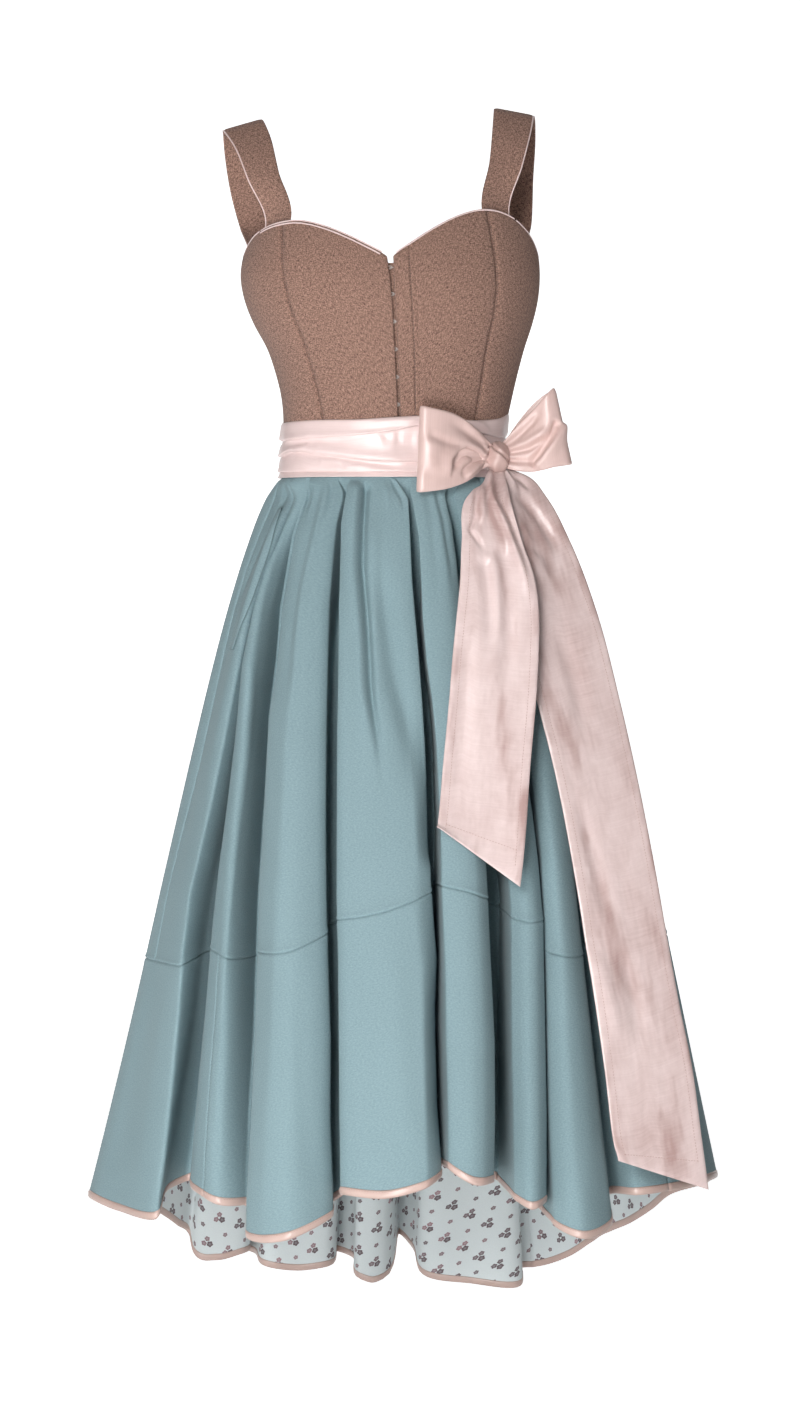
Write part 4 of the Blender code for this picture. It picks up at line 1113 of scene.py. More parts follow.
        crease(2.2, -2.4, (-66, -407), (-69, -428), (-73, -451), fade=(0.02, 0.6)),
        crease(2.6, -2.6, (-1, -406), (4, -414), (10, -425), (12, -443), fade=(0.05, 0.6)),
        crease(3, 1.3, (-8, -408), (-5, -423), (-3, -443), fade=(0.05, 0.6)),
        crease(5, -1.4, (36, -414), (42, -447), (46, -491), (49, -545), fade=(0.05, 0.5)),
        crease(3, -2, (46, -412), (55, -447), (61, -486), (66, -534), fade=(0.05, 0.5)),
        crease(5.5, 2.6, (-112, -423), (-129, -473), (-143, -532), (-154, -597), (-157, -683), (-160, -768),
               fade=(0.1, 0.4)),
        crease(6.5, 3, (-118, -423), (-140, -488), (-161, -559), (-178, -629), (-195, -716), (-210, -813),
               fade=(0.1, 0.4)),
        crease(5, -2.4, (-123, -407), (-149, -471), (-171, -542), (-194, -629), (-214, -716), (-231, -814),
               (-244, -889), fade=(0.1, 0.4)),
        crease(11, -1.5, (-45, -881), (-38, -952), (-26, -1032), (-15, -1100), fade=(0.3, 0.1)),
        crease(12, 1.5, (1, -860), (5, -952), (11, -1032), (17, -1100), fade=(0.3, 0.1)),
        crease(10, 1.3, (-118, -913), (-122, -994), (-127, -1075), (-130, -1154), fade=(0.3, 0.1)),
        crease(10, -1.3, (-97, -902), (-95, -984), (-90, -1074), (-83, -1142), fade=(0.3, 0.1)),
        crease(9, -1.2, (-263, -954), (-277, -1029), (-294, -1103), (-306, -1156), fade=(0.3, 0.1)),
        crease(9, 1.3, (-243, -941), (-253, -1025), (-263, -1098), (-271, -1160), fade=(0.3, 0.1)),
        crease(6, -1.4, (-176, -917), (-181, -1000), (-184, -1072), (-188, -1143), fade=(0.3, 0.1)),
        crease(9, -1.2, (184, -916), (189, -999), (194, -1081), (197, -1162), fade=(0.3, 0.1)),
        crease(5, -2.4, (-20, -400), (-26, -460), (-22, -540), (-30, -640), (-28, -760), fade=(0.02, 0.5),
               view="back"),
        crease(4, -2.2, (34, -400), (40, -450), (46, -520), (44, -600), fade=(0.02, 0.5), view="back"),
        crease(7, 1.8, (62, -402), (74, -470), (86, -560), (92, -680), fade=(0.1, 0.5), view="back"),
        crease(6, -2, (-56, -402), (-70, -470), (-82, -560), (-86, -660), fade=(0.05, 0.5), view="back"),
        crease(8, 1.8, (-90, -410), (-112, -490), (-132, -590), (-140, -700), fade=(0.1, 0.5), view="back"),
        crease(12, -1.8, (10, -700), (4, -860), (12, -1000), (8, -1120), view="back"),
        crease(12, 1.8, (110, -760), (118, -900), (112, -1040), (116, -1160), view="back"),
        crease(12, -1.8, (-110, -740), (-104, -880), (-112, -1020), (-108, -1150), view="back"),
        crease(8, -2, (40, -410), (56, -500), (70, -620), (76, -760), fade=(0.05, 0.5), view="left"),
        crease(6, 1.7, (10, -404), (14, -480), (10, -580), (20, -700), fade=(0.05, 0.5), view="left"),
        crease(4, -2, (-30, -406), (-34, -470), (-28, -560), fade=(0.02, 0.5), view="left"),
        crease(8, -2, (30, -408), (44, -500), (52, -620), (60, -760), fade=(0.05, 0.5), view="right"),
        crease(6, 1.7, (0, -404), (4, -480), (-2, -600), (6, -720), fade=(0.05, 0.5), view="right"),
        crease(5, -1.8, (-34, -420), (-42, -500), (-44, -600), fade=(0.05, 0.5), view="right"),
    ],
}
spanCounts = []
for k in range(len(skirt["folds"])):
    kind = "wideSpans" if k == skirt["wideFold"] else "frontSpans" if k < skirt["frontFolds"] else "backSpans"
    spanCounts += skirt[kind]
spanStarts = np.concatenate([[0], np.cumsum(spanCounts)])
seamNear = np.array([0.0, 0.7, 1.5, 2.6, 4.2, 6.5]) * mm


def hemColumns():
    turns = []
    before = skirt["folds"][-1][0] - 360
    for waist, spread, hem in skirt["folds"]:
        for (x, y, z, seam), share in zip(hem, skirt["runShares"]):
            turns.append((x * mm, y * mm, z * mm, before + (waist - before) * share, spread, seam))
        before = waist
    turns = np.array(turns)
    count = len(turns)
    wrapped = np.concatenate([turns[-3:], turns, turns[:4]])
    wrapped[:3, 3] -= 360
    wrapped[count + 3:, 3] += 360
    distance = reach(wrapped[:, :2])
    x = [distance[3 + i] + (distance[4 + i] - distance[3 + i]) * np.arange(n) / n for i, n in enumerate(spanCounts)]
    return smooth(np.concatenate(x), distance, wrapped)


def skirtPoint(columns, share):
    x, y, z, waist, spread = columns.T[:5]
    topZ = waistZ(waist)
    top = bodyPoint(waist, topZ)
    share = np.maximum(share, 0)
    out, deep = share ** (spread * (1 + skirt["spreadGrowth"] * share)), share ** skirt["depthSpread"]
    return np.stack([top[:, 0] + (x - top[:, 0]) * out, top[:, 1] + (y - top[:, 1]) * deep,
                     topZ + (z - topZ) * share], -1)


def roundMean(values, reachOut):
    # mean of each column's neighbours, round the ring
    width = np.arange(-reachOut, reachOut + 1)
    return np.mean([np.roll(values, step, axis=1) for step in width], axis=0)


def depthAt(z, depths):
    # a table of z and depth, read at any height
    table = np.array(depths, float)[::-1] * mm
    return np.interp(z, table[:, 0], table[:, 1])


def makeSkirtSurface():
    # every column down to the hem: upper rows, then the flounce's rows, then the hem's edge
    columns = hemColumns()
    drop = np.abs(columns[:, 2] - waistZ(columns[:, 3]))
    seam = columns[:, 5]
    near = seamNear[:, None] / drop
    stand = skirt["stand"] / drop
    rows = [-stand, -stand * 0.5]
    rows += [(seam - near[-1]) * (i / skirt["upperRows"]) ** 1.15 for i in range(skirt["upperRows"] + 1)]
    rows += [seam - step for step in near[-2::-1]]
    upper = len(rows)
    rows += [seam + step for step in near]
    edge = 1 - skirt["bindingDepth"] / drop
    start = seam + near[-1]
    rows += [start + (edge - start) * i / skirt["flounceRows"] for i in range(1, skirt["flounceRows"] + 1)]
    edgeRow = len(rows) - 1
    rows += [edge + (1 - edge) * t for t in (0.25, 0.5, 0.75, 1.0)]
    points = []
    for share in rows:
        if (share < 0).all():
            flat = bodyPoint(columns[:, 3], waistZ(columns[:, 3]))
            flat[:, 2] -= share * drop
            points.append(flat)
        else:
            points.append(skirtPoint(columns, share))
    points = np.array(points)
    total = points.shape[1]

    def spot(k, j):
        # column of a fold's hem point
        return int(spanStarts[5 * k + j])

    # the folds' edges are led along their lines, and each fold's middle follows them
    keys, shifts = [], []
    for k in range(len(skirt["folds"])):
        edges = skirt["edges"].get(k)
        for which, column in ((0, spot(k, 2)), (1, spot(k + 1, 0) % total)):
            shift = np.zeros(len(points))
            if edges:
                line = np.array(edges[which], float) * mm
                order = np.argsort(line[:, 1])
                shift = np.interp(points[:, column, 2], line[order, 1], line[order, 0]) - points[:, column, 0]
                shift = shift * ease(-points[:, column, 2], *skirt["linesBegin"])
            keys.append(column)
            shifts.append(shift)
    order = np.argsort(keys)
    keys, shifts = np.array(keys)[order], np.array(shifts)[order]
    keys = np.concatenate([keys, [keys[0] + total]])
    shifts = np.concatenate([shifts, shifts[:1]])
    points[..., 0] += np.array([np.interp(np.arange(total), keys, shifts[:, row]) for row in range(len(points))])
    # beside some edges the fold's face leans back
    inward = -unit(roundMean(gridNormals(points, True), 30) * (1, 1, 0))
    lean = np.zeros(points.shape[:2])
    for k, side, width, roundness, depths in skirt["facets"]:
        edge = spot(k, 2) if side > 0 else spot(k, 0)
        face = np.arange(spot(k, 0), spot(k, 2) + 1)
        away = np.abs(points[:, face, 0] - points[:, edge:edge + 1, 0])
        t = np.clip(1 - away / (width * mm), 0, 1)
        lean[:, face] += depthAt(points[:, face, 2], depths) * (t * (1 - roundness) + t * t * roundness)
    for k in skirt["turnDepths"]:
        first, last = spot(k, 2), spot(k + 1, 0)
        start, end = lean[:, first:first + 1], lean[:, last:last + 1]
        lean[:, first:last + 1] = start + (end - start) * np.linspace(0, 1, last - first + 1)
    # on the front's -X half the facets lean straight back, and elsewhere inwards
    aside = skirt["leanBack"]
    back = np.clip((points[0, :, 0] - aside["from"]) / -aside["over"], 0, 1)[None, :, None]
    back = back * (points[0, :, 1] < 0)[None, :, None] * aside["share"]
    points += unit(inward * (1 - back) + np.array([0, 1.0, 0]) * back) * lean[..., None]
    # between two folds the cloth turns back: soft valleys, and in front steep ones that run under the next fold
    place = np.arange(total)
    for k, depths in skirt["turnDepths"].items():
        depth = depthAt(points[:, :, 2], depths)
        first, last = spot(k, 2), spot(k + 1, 0)
        middle, half = (first + last) / 2, (last - first) / 2
        apart = np.abs((place - middle + total / 2) % total - total / 2) / half
        points += inward * (depth * (1 - ease(apart, 0.35, 1.0)))[..., None]
    wallShare, (underFrom, underTo) = skirt["gapWall"], skirt["gapUnder"]
    for k, (under, depths) in skirt["gaps"].items():
        first, last = spot(k, 2), spot(k + 1, 0)
        t = np.linspace(0, 1, last - first + 1)[None, 1:-1]
        left, right = points[:, first], points[:, last]
        depth = depthAt((left[:, 2] + right[:, 2]) / 2, depths)[:, None]
        further = under * mm * ease(depth, 0, 12 * mm)
        walls = ease(t, 0, wallShare) * (1 - ease(t, 1 - wallShare, 1.0))
        between = left[:, None] + (right - left)[:, None] * t[..., None]
        between[..., 0] = (left[:, :1] + (right[:, :1] + further - left[:, :1]) * ease(t, underFrom, underTo)
                           - further * ease(t, underTo, 1.0))
        between += inward[:, (first + last) // 2][:, None] * (depth * walls)[..., None]
        points[:, first + 1:last] = between
        for column in (first, last):
            around = np.arange(column - 2, column + 3)
            eased = (points[:, around - 1] + points[:, around] * 2 + points[:, around + 1]) / 4
            points[:, around] = eased
    return points, columns, upper, edgeRow


def seamRolls(points, normals, columnSeams, rowRange):
    # the cloth turns under along the panels' upright seams
    moved = points.copy()
    across = np.linalg.norm(np.roll(points, -1, axis=1) - points, axis=2)
    rows = slice(*rowRange)
    for column in columnSeams:
        order = np.arange(-6, 7)
        ids = (column + order) % points.shape[1]
        step = across[:, ids].mean(axis=1, keepdims=True)
        roll = hump(np.abs(order)[None, :] * step, skirt["uprightSeam"]["width"]) * skirt["uprightSeam"]["depth"]
        moved[rows, ids] -= normals[rows][:, ids] * roll[rows][..., None]
    return moved


print("skirt")
skirtPoints, columns, seamRow, edgeRow = makeSkirtSurface()
count = skirtPoints.shape[1]
skirtNormals = gridNormals(skirtPoints, True)
sideSeams = (int(spanStarts[0]) + 14, int(spanStarts[7 * 5 + 2]))
backSeam = int(spanStarts[11 * 5])
flounceSeams = (int(spanStarts[5]) + 5, int(spanStarts[7 * 5]) + 14, int(spanStarts[9 * 5 + 2]))
# the seam between skirt and flounce: the skirt's edge lies on the flounce's, which turns under
down = reach(skirtPoints)
fromSeam = down - (down[seamRow - 1] + down[seamRow]) / 2
above, below, groove = (height * hump(fromSeam - away * mm, width * mm)
                        for height, away, width in skirt["seamShape"].values())
seamShape = np.where(fromSeam <= 0, above, below) - groove
shaped = creased(skirtPoints, skirtNormals, skirt["creases"], ownSide=True)
shaped = shaped + skirtNormals * seamShape[..., None] * mm
shaped = seamRolls(shaped, skirtNormals, (*sideSeams, backSeam), (0, seamRow))
shaped = seamRolls(shaped, skirtNormals, flounceSeams, (seamRow, len(shaped)))
blended = unit(skirtNormals * 0.6 + gridNormals(shaped, True) * 0.4)


def skirtPanel(name, rows, span, flat, wall, finish, inset=0.0):
    ids = np.arange(span[0], span[1] + 1) % count
    normals = blended[rows[0]:rows[1]][:, ids]
    outer = shaped[rows[0]:rows[1]][:, ids] - normals * inset
    piece = clothPiece(name, outer, wall, finish, normals=normals, lip=skirt["lip"])
    return dress(piece, [name], flat, "gathered" if "skirt" in name else "hung")


for seam in (flounceSeams[0], flounceSeams[1]):
    tealStitches.append((shaped + blended * 0.1 * mm)[seamRow + 4:edgeRow, seam])
# columns from seam to seam, and the flat size
upperSpans = {
    "front": (sideSeams, (1.735, 0.56, 0.62)), "back_right": ((sideSeams[1], backSeam), (0.60, 0.66, 0.24)),
    "back_left": ((backSeam, count + sideSeams[0]), (0.616, 0.656, 0.24)),
}
for word, (span, flat) in upperSpans.items():
    skirtPanel("skirt_" + word, (0, seamRow), span, flat, skirt["wall"], teal)
lowerSpans = {
    "front": (flounceSeams[:2], (1.49, 0.30, 0.405)), "back_right": (flounceSeams[1:], (0.535, 0.30, 0.125)),
    "back_left": ((flounceSeams[2], count + flounceSeams[0]), (1.51, 0.30, 0.357)),
}
for word, (span, flat) in lowerSpans.items():
    skirtPanel("flounce_" + word, (seamRow, edgeRow + 3), span, flat, skirt["wall"], teal)
    if word != "front":
        skirtPanel("lining_" + word, (seamRow + 1, edgeRow + 3), span, flat, skirt["liningWall"], lining,
                   skirt["wall"] + skirt["liningGap"])


# bound hem
binding = {
    "points": [  # down from the bound edge's top, out from the cloth's face
        (0.0, -0.3), (-0.5, 0.3), (0.5, 0.65), (2.4, 0.8), (4.9, 0.7), (6.7, 0.25), (7.6, -0.8), (7.8, -1.5),
        (6.7, -2.9), (4.9, -3.35), (2.4, -3.45), (0.5, -3.3), (-0.5, -2.95), (0.0, -2.2),
    ],
    "pucker": 5.2 * mm,
}


def makeBinding(word, span):
    ids = np.arange(span[0], span[1] + 1) % count
    top, bottom = shaped[edgeRow][ids], shaped[-1][ids]
    fall = unit(bottom - top)
    out = blended[edgeRow][ids]
    out = unit(out - fall * (out * fall).sum(axis=1, keepdims=True))
    depth = np.linalg.norm(bottom - top, axis=1)
    length = reach(top)
    rows = []
    for a, b in np.array(binding["points"]) * mm:
        pucker = np.sin((length + a * 0.9) / binding["pucker"] * 2 * math.pi)
        pucker = pucker * (0.55 + 0.45 * np.sin(length * 57 + 1.3))
        bulge = np.where(b > 0, b + pucker * 0.32 * mm, b)
        rows.append(top + fall * (a * depth / skirt["bindingDepth"])[:, None] + out * bulge[:, None])
    grid = np.array(rows)
    pinkStitches.append(grid[3] - out * 0.05 * mm - fall * 1.0 * mm)
    # a closed tube: its rows go round the section, and a face shuts each end
    index = gridIndex(*grid.shape[:2])
    quads = quadsOf(np.concatenate([index, index[:1]]))
    roundWay = reach(np.concatenate([grid, grid[:1]]))
    uv = np.stack([np.broadcast_to(length, roundWay.shape), roundWay], -1)
    uv = uv.reshape(-1, 2)[quadsOf(gridIndex(*roundWay.shape))]
    mesh = makeMesh("hem_binding_" + word, grid.reshape(-1, 3), quads, uv)
    bm = bmesh.new()
    bm.from_mesh(mesh)
    bmesh.ops.holes_fill(bm, edges=[edge for edge in bm.edges if edge.is_boundary], sides=0)
    bmesh.ops.recalc_face_normals(bm, faces=bm.faces)
    bm.to_mesh(mesh)
    bm.free()
    piece = addPiece("hem_binding_" + word, mesh, bindingSatin)
    return dress(piece, ["hem_binding_" + word])


print("hem")
for word, (span, _) in lowerSpans.items():
    makeBinding(word, span)


# sash round the waist
sash = {
    "wall": 1.2 * mm, "columns": 330, "flat": (0.69, 0.080, 0.0512),
    # height of the top edge, of the three fold lines and of the bottom edge at each angle
    "lines": [
        # angle, top, fold 1, fold 2, fold 3
        (-180, -331, -348, -366, -384), (-140, -330, -347, -368, -386), (-105, -333, -352, -371, -389),
        (-80, -337, -357, -374, -391), (-60, -337.5, -357, -370, -392.5), (-40, -338, -357, -375, -394),
        (-20, -338.5, -355, -381.5, -395), (0, -336, -350, -384, -395), (12, -334.5, -345, -384, -395),
        (40, -338, -350, -380, -391), (64, -334, -354, -376, -390), (82, -327, -352, -374, -389),
        (100, -331, -350, -372, -388), (140, -333, -349, -369, -386), (180, -331, -348, -366, -384),
    ],
    # how far down a band between two lines, and how far out
    "band": [(0.0, 1.5), (0.05, 2.2), (0.16, 2.9), (0.34, 3.3), (0.55, 3.7), (0.75, 4.2), (0.90, 4.7), (0.97, 4.5),
             (0.995, 3.2)],
    "creases": [
        crease(8, 2.4, (-124, -374), (-110, -369), (-94, -371), (-56, -378), (-27, -383), (0, -384), (30, -384),
               fade=(0.02, 0.2), pleat=1),
        crease(6, 1.8, (-56, -344), (-44, -341.5), (-10, -343), (30, -341), fade=(0.2, 0.1), pleat=1),
        crease(7, 2, (-122, -358), (-90, -357.5), (-56, -357), (-14, -352.5), (28, -345), fade=(0.02, 0.1),
               pleat=1),
        crease(3, -1.2, (-92, -352), (-84, -372), (-80, -390), fade=(0.2, 0.3)),
        crease(3, -1.4, (-60, -382), (-52, -392), fade=(0.2, 0.2)),
        crease(1.5, -2.6, (-121, -375), (-110, -370), (-94, -372), (-56, -379), (-27, -384), (0, -385),
               fade=(0.02, 0.5)),
        crease(2.2, -2.6, (2, -352), (11, -358), (25, -361), fade=(0.1, 0.1)),
        crease(3, -1.8, (-120, -364), (-104, -361), (-92, -364), fade=(0.05, 0.4)),
        crease(2.6, -2.4, (-112, -362), (-80, -360), (-48, -366)),
        crease(2, 2.1, (-112, -371), (-96, -366), (-88, -361)),
        crease(2.4, -2.1, (-70, -376), (-30, -384), (10, -389)),
        crease(2.4, -3, (-16, -352), (2, -360), (24, -363)),
        crease(1.8, -1.7, (-50, -352), (-10, -349), (24, -343)),
        crease(1.6, -1.5, (-108, -392), (-60, -394), (-10, -393)),
        crease(2.4, 1.7, (-116, -383), (-90, -385), (-60, -381)),
        crease(4, -2.4, (40, -344), (70, -352), (92, -356)),
        crease(3, 2.4, (76, -335), (96, -343), (108, -352)),
        crease(2.6, -2.4, (-100, -356), (-50, -362), (0, -358), view="back"),
        crease(2.6, -2.4, (-40, -374), (20, -380), (80, -372), view="back"),
        crease(2.4, 2.1, (20, -350), (60, -346), (100, -352), view="back"),
        crease(3, -2.4, (-40, -345), (0, -352), (50, -348), view="right"),
        crease(3, -2.4, (50, -352), (0, -358), (-50, -353), view="left"),
    ],
}


def makeSash():
    angle = np.linspace(-180, 180, sash["columns"], endpoint=False)
    table = np.array(sash["lines"], float)
    lines = smooth(angle, table[:, 0], table[:, 1:]) * mm
    lines = np.column_stack([lines, waistZ(angle) - 0.5 * mm])
    rows, outs = [], []
    for band in range(4):
        for share, out in sash["band"]:
            rows.append(lines[:, band] + (lines[:, band + 1] - lines[:, band]) * share)
            soft = 1 + 0.18 * np.sin(np.radians(angle) * (3 + band) + band * 1.7)
            outs.append(out * mm * soft)
    z, out = np.array(rows), np.array(outs)
    outward, waist = bodyOutward(angle, z), bodyPoint(angle, z)
    points = waist + outward * out[..., None]
    points = creased(points, outward, sash["creases"])
    sunk = (sash["wall"] + 0.1 * mm - ((points - waist) * outward).sum(axis=2)).clip(0)
    points = points + outward * sunk[..., None]
    normals = unit(gridNormals(points, True) * 0.5 + outward * 0.5)
    piece = clothPiece("sash_band", points, sash["wall"], satin, ring=True, normals=normals, lip=0.5)
    return dress(piece, ["sash_band"], sash["flat"], held="gathered")


print("sash")
makeSash()


# bow
bow = {
    "wall": 1.2 * mm, "columns": 120, "rows": 40,
    "knotCentre": (113, -66, -378), "gatherReach": 20 * mm, "gatherDepth": 1.3 * mm,
    "knotHalf": (13.5, 17, 18.5),
    # from the knot along the front, round the end and back behind: x and z of the low and the high edge
    "left": [
        # xLow, xHigh, y, zLow, zHigh
        (112, 112, -67, -386, -369), (99, 99, -80, -391, -356), (86, 86, -92, -402, -345), (65, 66, -104, -412, -334),
        (41, 44, -113, -417, -329), (27.5, 31.5, -113, -418, -326.5), (25, 28.8, -109, -417, -326.5),
        (31, 34, -105, -413, -328),
        (52, 52, -101, -404, -334), (78, 78, -92, -394, -348), (95, 95, -77, -387, -362), (110, 110, -58, -385, -370),
    ],
    "right": [
        (115, 115, -66, -388, -366), (138, 137, -70, -393, -341), (158, 155, -76, -393, -323),
        (178, 168, -79, -388, -309), (191, 175, -74, -386, -304), (194, 177, -67, -385, -309),
        (186, 173, -60, -386, -306), (170, 166, -56, -388, -309), (151, 151, -54, -388, -321),
        (132, 132, -55, -386, -344), (116, 116, -57, -385, -369),
    ],
    "flat": {"left": (0.092, 0.232, 0.0132), "right": (0.091, 0.195, 0.0109)},      # width, length and area
    "leftCreases": [
        crease(10, 5.8, (100, -379), (91, -372.5), (80, -368.7), (70.5, -372.5), (63, -382), (60.6, -395),
               (61.7, -404), fade=(0.05, 0.2), pleat=-1),
        crease(4.2, -7, (98, -382), (89, -377), (80, -373.5), (73, -377), (67.5, -385), (66, -396),
               fade=(0.05, 0.25)),
        crease(2.8, 3.4, (97, -382), (87, -393), (78, -403), fade=(0.05, 0.3)),
        crease(2.6, -3.6, (93, -381), (79, -391), (73, -402), fade=(0.05, 0.3)),
        crease(2.6, -2.6, (101, -385), (95, -396), (88, -405), fade=(0.05, 0.3)),
        crease(4.5, -2.6, (37, -357), (58, -364), (72, -369), (84, -366), fade=(0.15, 0.3)),
        crease(6, -3.4, (103, -372), (90, -360), (76, -350), (58, -343), fade=(0.05, 0.4)),
        crease(3, 2.4, (103, -368), (90, -353), (76, -343), fade=(0.05, 0.4)),
        crease(9, 2.8, (44, -402), (41, -380), (44, -352)),
        crease(4, -3.2, (100, -376), (80, -372), (56, -366), fade=(0.05, 0.4), view="back"),
    ],
    "rightCreases": [
        crease(9, 5.4, (185, -339), (179, -352), (171, -365), (161, -379), (151, -389), fade=(0.1, 0.1), pleat=1),
        crease(4.2, -6.4, (179, -338), (173, -351), (165, -363), (155, -377), (146, -388), fade=(0.1, 0.1)),
        crease(4.2, 3.4, (124, -370), (144, -362), (158, -354), (170, -345), fade=(0.05, 0.3)),
        crease(3.2, -4.2, (124, -374), (147, -369), (160, -361), (168, -354), fade=(0.05, 0.3)),
        crease(3.6, -3.2, (122, -370), (134, -357), (150, -341), (160, -328), fade=(0.05, 0.3)),
        crease(3, -2.6, (121, -380), (136, -383), (150, -384), fade=(0.05, 0.3)),
        crease(4, -3.2, (122, -374), (142, -362), (166, -346), fade=(0.05, 0.4), view="back"),
    ],
}


def makeLoop(word):
    xLow, xHigh, y, zLow, zHigh = np.array(bow[word], float).T
    rows = np.column_stack([(xLow + xHigh) / 2, y, (zLow + zHigh) / 2, xLow, xHigh, zLow, zHigh])
    path = along(rows * mm, bow["columns"])
    share = np.linspace(0, 1, bow["rows"])[:, None]
    x = path[:, 4] + (path[:, 3] - path[:, 4]) * share
    z = path[:, 6] + (path[:, 5] - path[:, 6]) * share
    y = np.broadcast_to(path[:, 1], x.shape)
    points = np.stack([x, y, z], -1)
    if word == "left":
        points = points[:, ::-1]
    normals = gridNormals(points)
    # the band is gathered where it goes into the knot
    centre = np.array(bow["knotCentre"]) * mm
    far = np.linalg.norm(points - centre, axis=2)
    gather = hump(far - 8 * mm, bow["gatherReach"]) * np.sin(share * math.pi * 7 + 0.6) * bow["gatherDepth"]
    edge = np.minimum(share, 1 - share) * 85 * mm
    gather = gather * ease(edge, 0, 8 * mm) + (1 - ease(edge, 0, 2.2 * mm)) * -0.4 * mm
    points = points + normals * gather[..., None]
    points = creased(points, normals, bow[word + "Creases"])
    piece = clothPiece("bow_loop_" + word, points, bow["wall"], shadedBowSatin, lip=0.5,
                       uv=measuredUv(points)[..., ::-1])
    return dress(piece, ["bow_loop_" + word], bow["flat"][word], held="folded")


def makeKnot():
    # a band wound round the bow: an ellipsoid with a spiral of folds
    rows, turns = 46, 90
    phi = np.linspace(0.04, math.pi - 0.04, rows)[:, None]
    theta = np.linspace(-math.pi, math.pi, turns, endpoint=False)[None, :]
    direction = (np.sin(phi) * np.sin(theta), -np.sin(phi) * np.cos(theta), np.cos(phi))
    direction = np.stack(np.broadcast_arrays(*direction), -1)
    half = np.array(bow["knotHalf"]) * mm * (1.0, 1.0, 0.96)
    fold = np.sin(3.0 * theta + 4.6 * np.cos(phi)) * 0.5 + np.sin(5.0 * theta - 3.0 * np.cos(phi) + 1.0) * 0.25
    groove = hump(np.mod(theta + 1.9 * np.cos(phi) + 2.4, 2 * math.pi) - math.pi, 0.22)
    size = 1.0 + (0.09 * fold - 0.24 * groove) * np.sin(phi) ** 0.6
    points = np.array(bow["knotCentre"]) * mm + direction * half * size[..., None]
    uv = np.stack(np.broadcast_arrays(np.linspace(0, 0.08, turns + 1)[None, :], -phi * 0.016), -1)
    piece = clothShell("sash_knot", points, points - direction * 2.0 * mm, uv, shadedKnotSatin, ring=True, lip=0.2)
    return dress(piece, ["sash_knot"])


print("bow")
makeLoop("left")
makeLoop("right")
makeKnot()


# tails
tails = {
    "wall": 1.2 * mm, "columns": 34, "rows": 170, "solidRows": 20, "reach": 26 * mm, "reachDown": 34 * mm,
    "sashStandOut": 4.5 * mm, "hem": 8.5 * mm, "edgeRoll": 0.45 * mm, "edgeWidth": 1.6 * mm,
    "short": {
        "slope": 0.10, "clear": 4, "rootY": -66, "flat": (0.092, 0.482, 0.0370), "nodes": "sash_tail_short",
        # x1, z1, x2, z2: the two edges at each height
        "rows": [
            (106, -389, 118, -389), (99, -401, 122, -403), (79, -424, 126, -426), (74, -470, 138, -470),
            (72, -514, 151, -512), (68, -553, 155, -552), (64, -592, 154, -592), (60, -640, 151, -640),
            (53, -712, 144, -712), (49, -757, 139, -778), (47.5, -770, 136, -810), (47, -772, 133, -835),
        ],
        "creases": [
            crease(4, 4.7, (104, -392), (106, -420), (120, -449), (132, -482), (140, -508), (148, -545),
                   fade=(0.05, 0.4)),
            crease(5, -4.7, (110, -400), (114, -424), (128, -452), (140, -486), (147, -512), fade=(0.05, 0.4)),
            crease(2.4, -4, (100, -398), (90, -415), (88, -445), (83, -459), (94, -475), (98, -486),
                   fade=(0.05, 0.25)),
            crease(3.5, 3.2, (96, -410), (97, -440), (94, -456), fade=(0.1, 0.3)),
            crease(7, -3.2, (98, -486), (101, -520), (104, -560), (103, -600), fade=(0.1, 0.5)),
            crease(9, -4, (116, -470), (122, -520), (124, -570), (118, -620), (112, -660), fade=(0.1, 0.5)),
            crease(6, 2.7, (108, -480), (112, -530), (112, -590), fade=(0.2, 0.4)),
            crease(9, -2.9, (82, -560), (78, -620), (72, -690), (66, -750)),
        ],
    },
    "long": {
        "slope": 0.40, "clear": 3, "rootY": -58, "flat": (0.094, 0.825, 0.0733), "nodes": "sash_tail_long",
        "rows": [
            (109, -387, 122, -387), (110, -401, 148, -398), (112, -424, 166, -420), (114, -474, 192, -470),
            (130, -552, 220, -546), (154, -642, 243, -638), (170, -706, 257, -702), (193, -828, 280, -824),
            (206, -914, 294, -910), (214, -966, 303, -962), (223, -1032, 316, -1028), (232, -1106, 326, -1106),
            (235.3, -1117, 330.5, -1138), (236, -1121, 333, -1156),
        ],
        "creases": [
            crease(3, 4.7, (120, -392), (130, -408), (134, -414), fade=(0.05, 0.3)),
            crease(3, -4.3, (128, -394), (140, -402), (150, -414), fade=(0.05, 0.4)),
            crease(6, -5, (132, -416), (142, -424), (160, -446), (172, -466), (180, -490), fade=(0.1, 0.4)),
            crease(7, 3.6, (124, -430), (140, -460), (156, -492), (170, -526)),
            crease(4, -2.9, (140, -476), (152, -478), (160, -488)),
            crease(10, -2.9, (176, -560), (196, -620), (206, -680)),
            crease(8, -2.7, (196, -740), (212, -800), (222, -850), (236, -880)),
            crease(9, 2.5, (214, -900), (226, -950), (240, -1000)),
            crease(8, -2.5, (240, -900), (256, -960), (262, -1010)),
        ],
    },
}


def frontOf(points, x, z):
    near = (np.abs(points[:, 0] - x) < tails["reach"]) & (np.abs(points[:, 2] - z) < tails["reachDown"])
    return points[near, 1].min() if near.any() else np.nan


def tailPlaces(tail, number):
    rows = np.array(tail["rows"], float) * mm
    x, z = (rows[:, 0] + rows[:, 2]) / 2, (rows[:, 1] + rows[:, 3]) / 2
    return along(np.column_stack([x, np.zeros(len(rows)), z, rows]), number)[:, 3:]


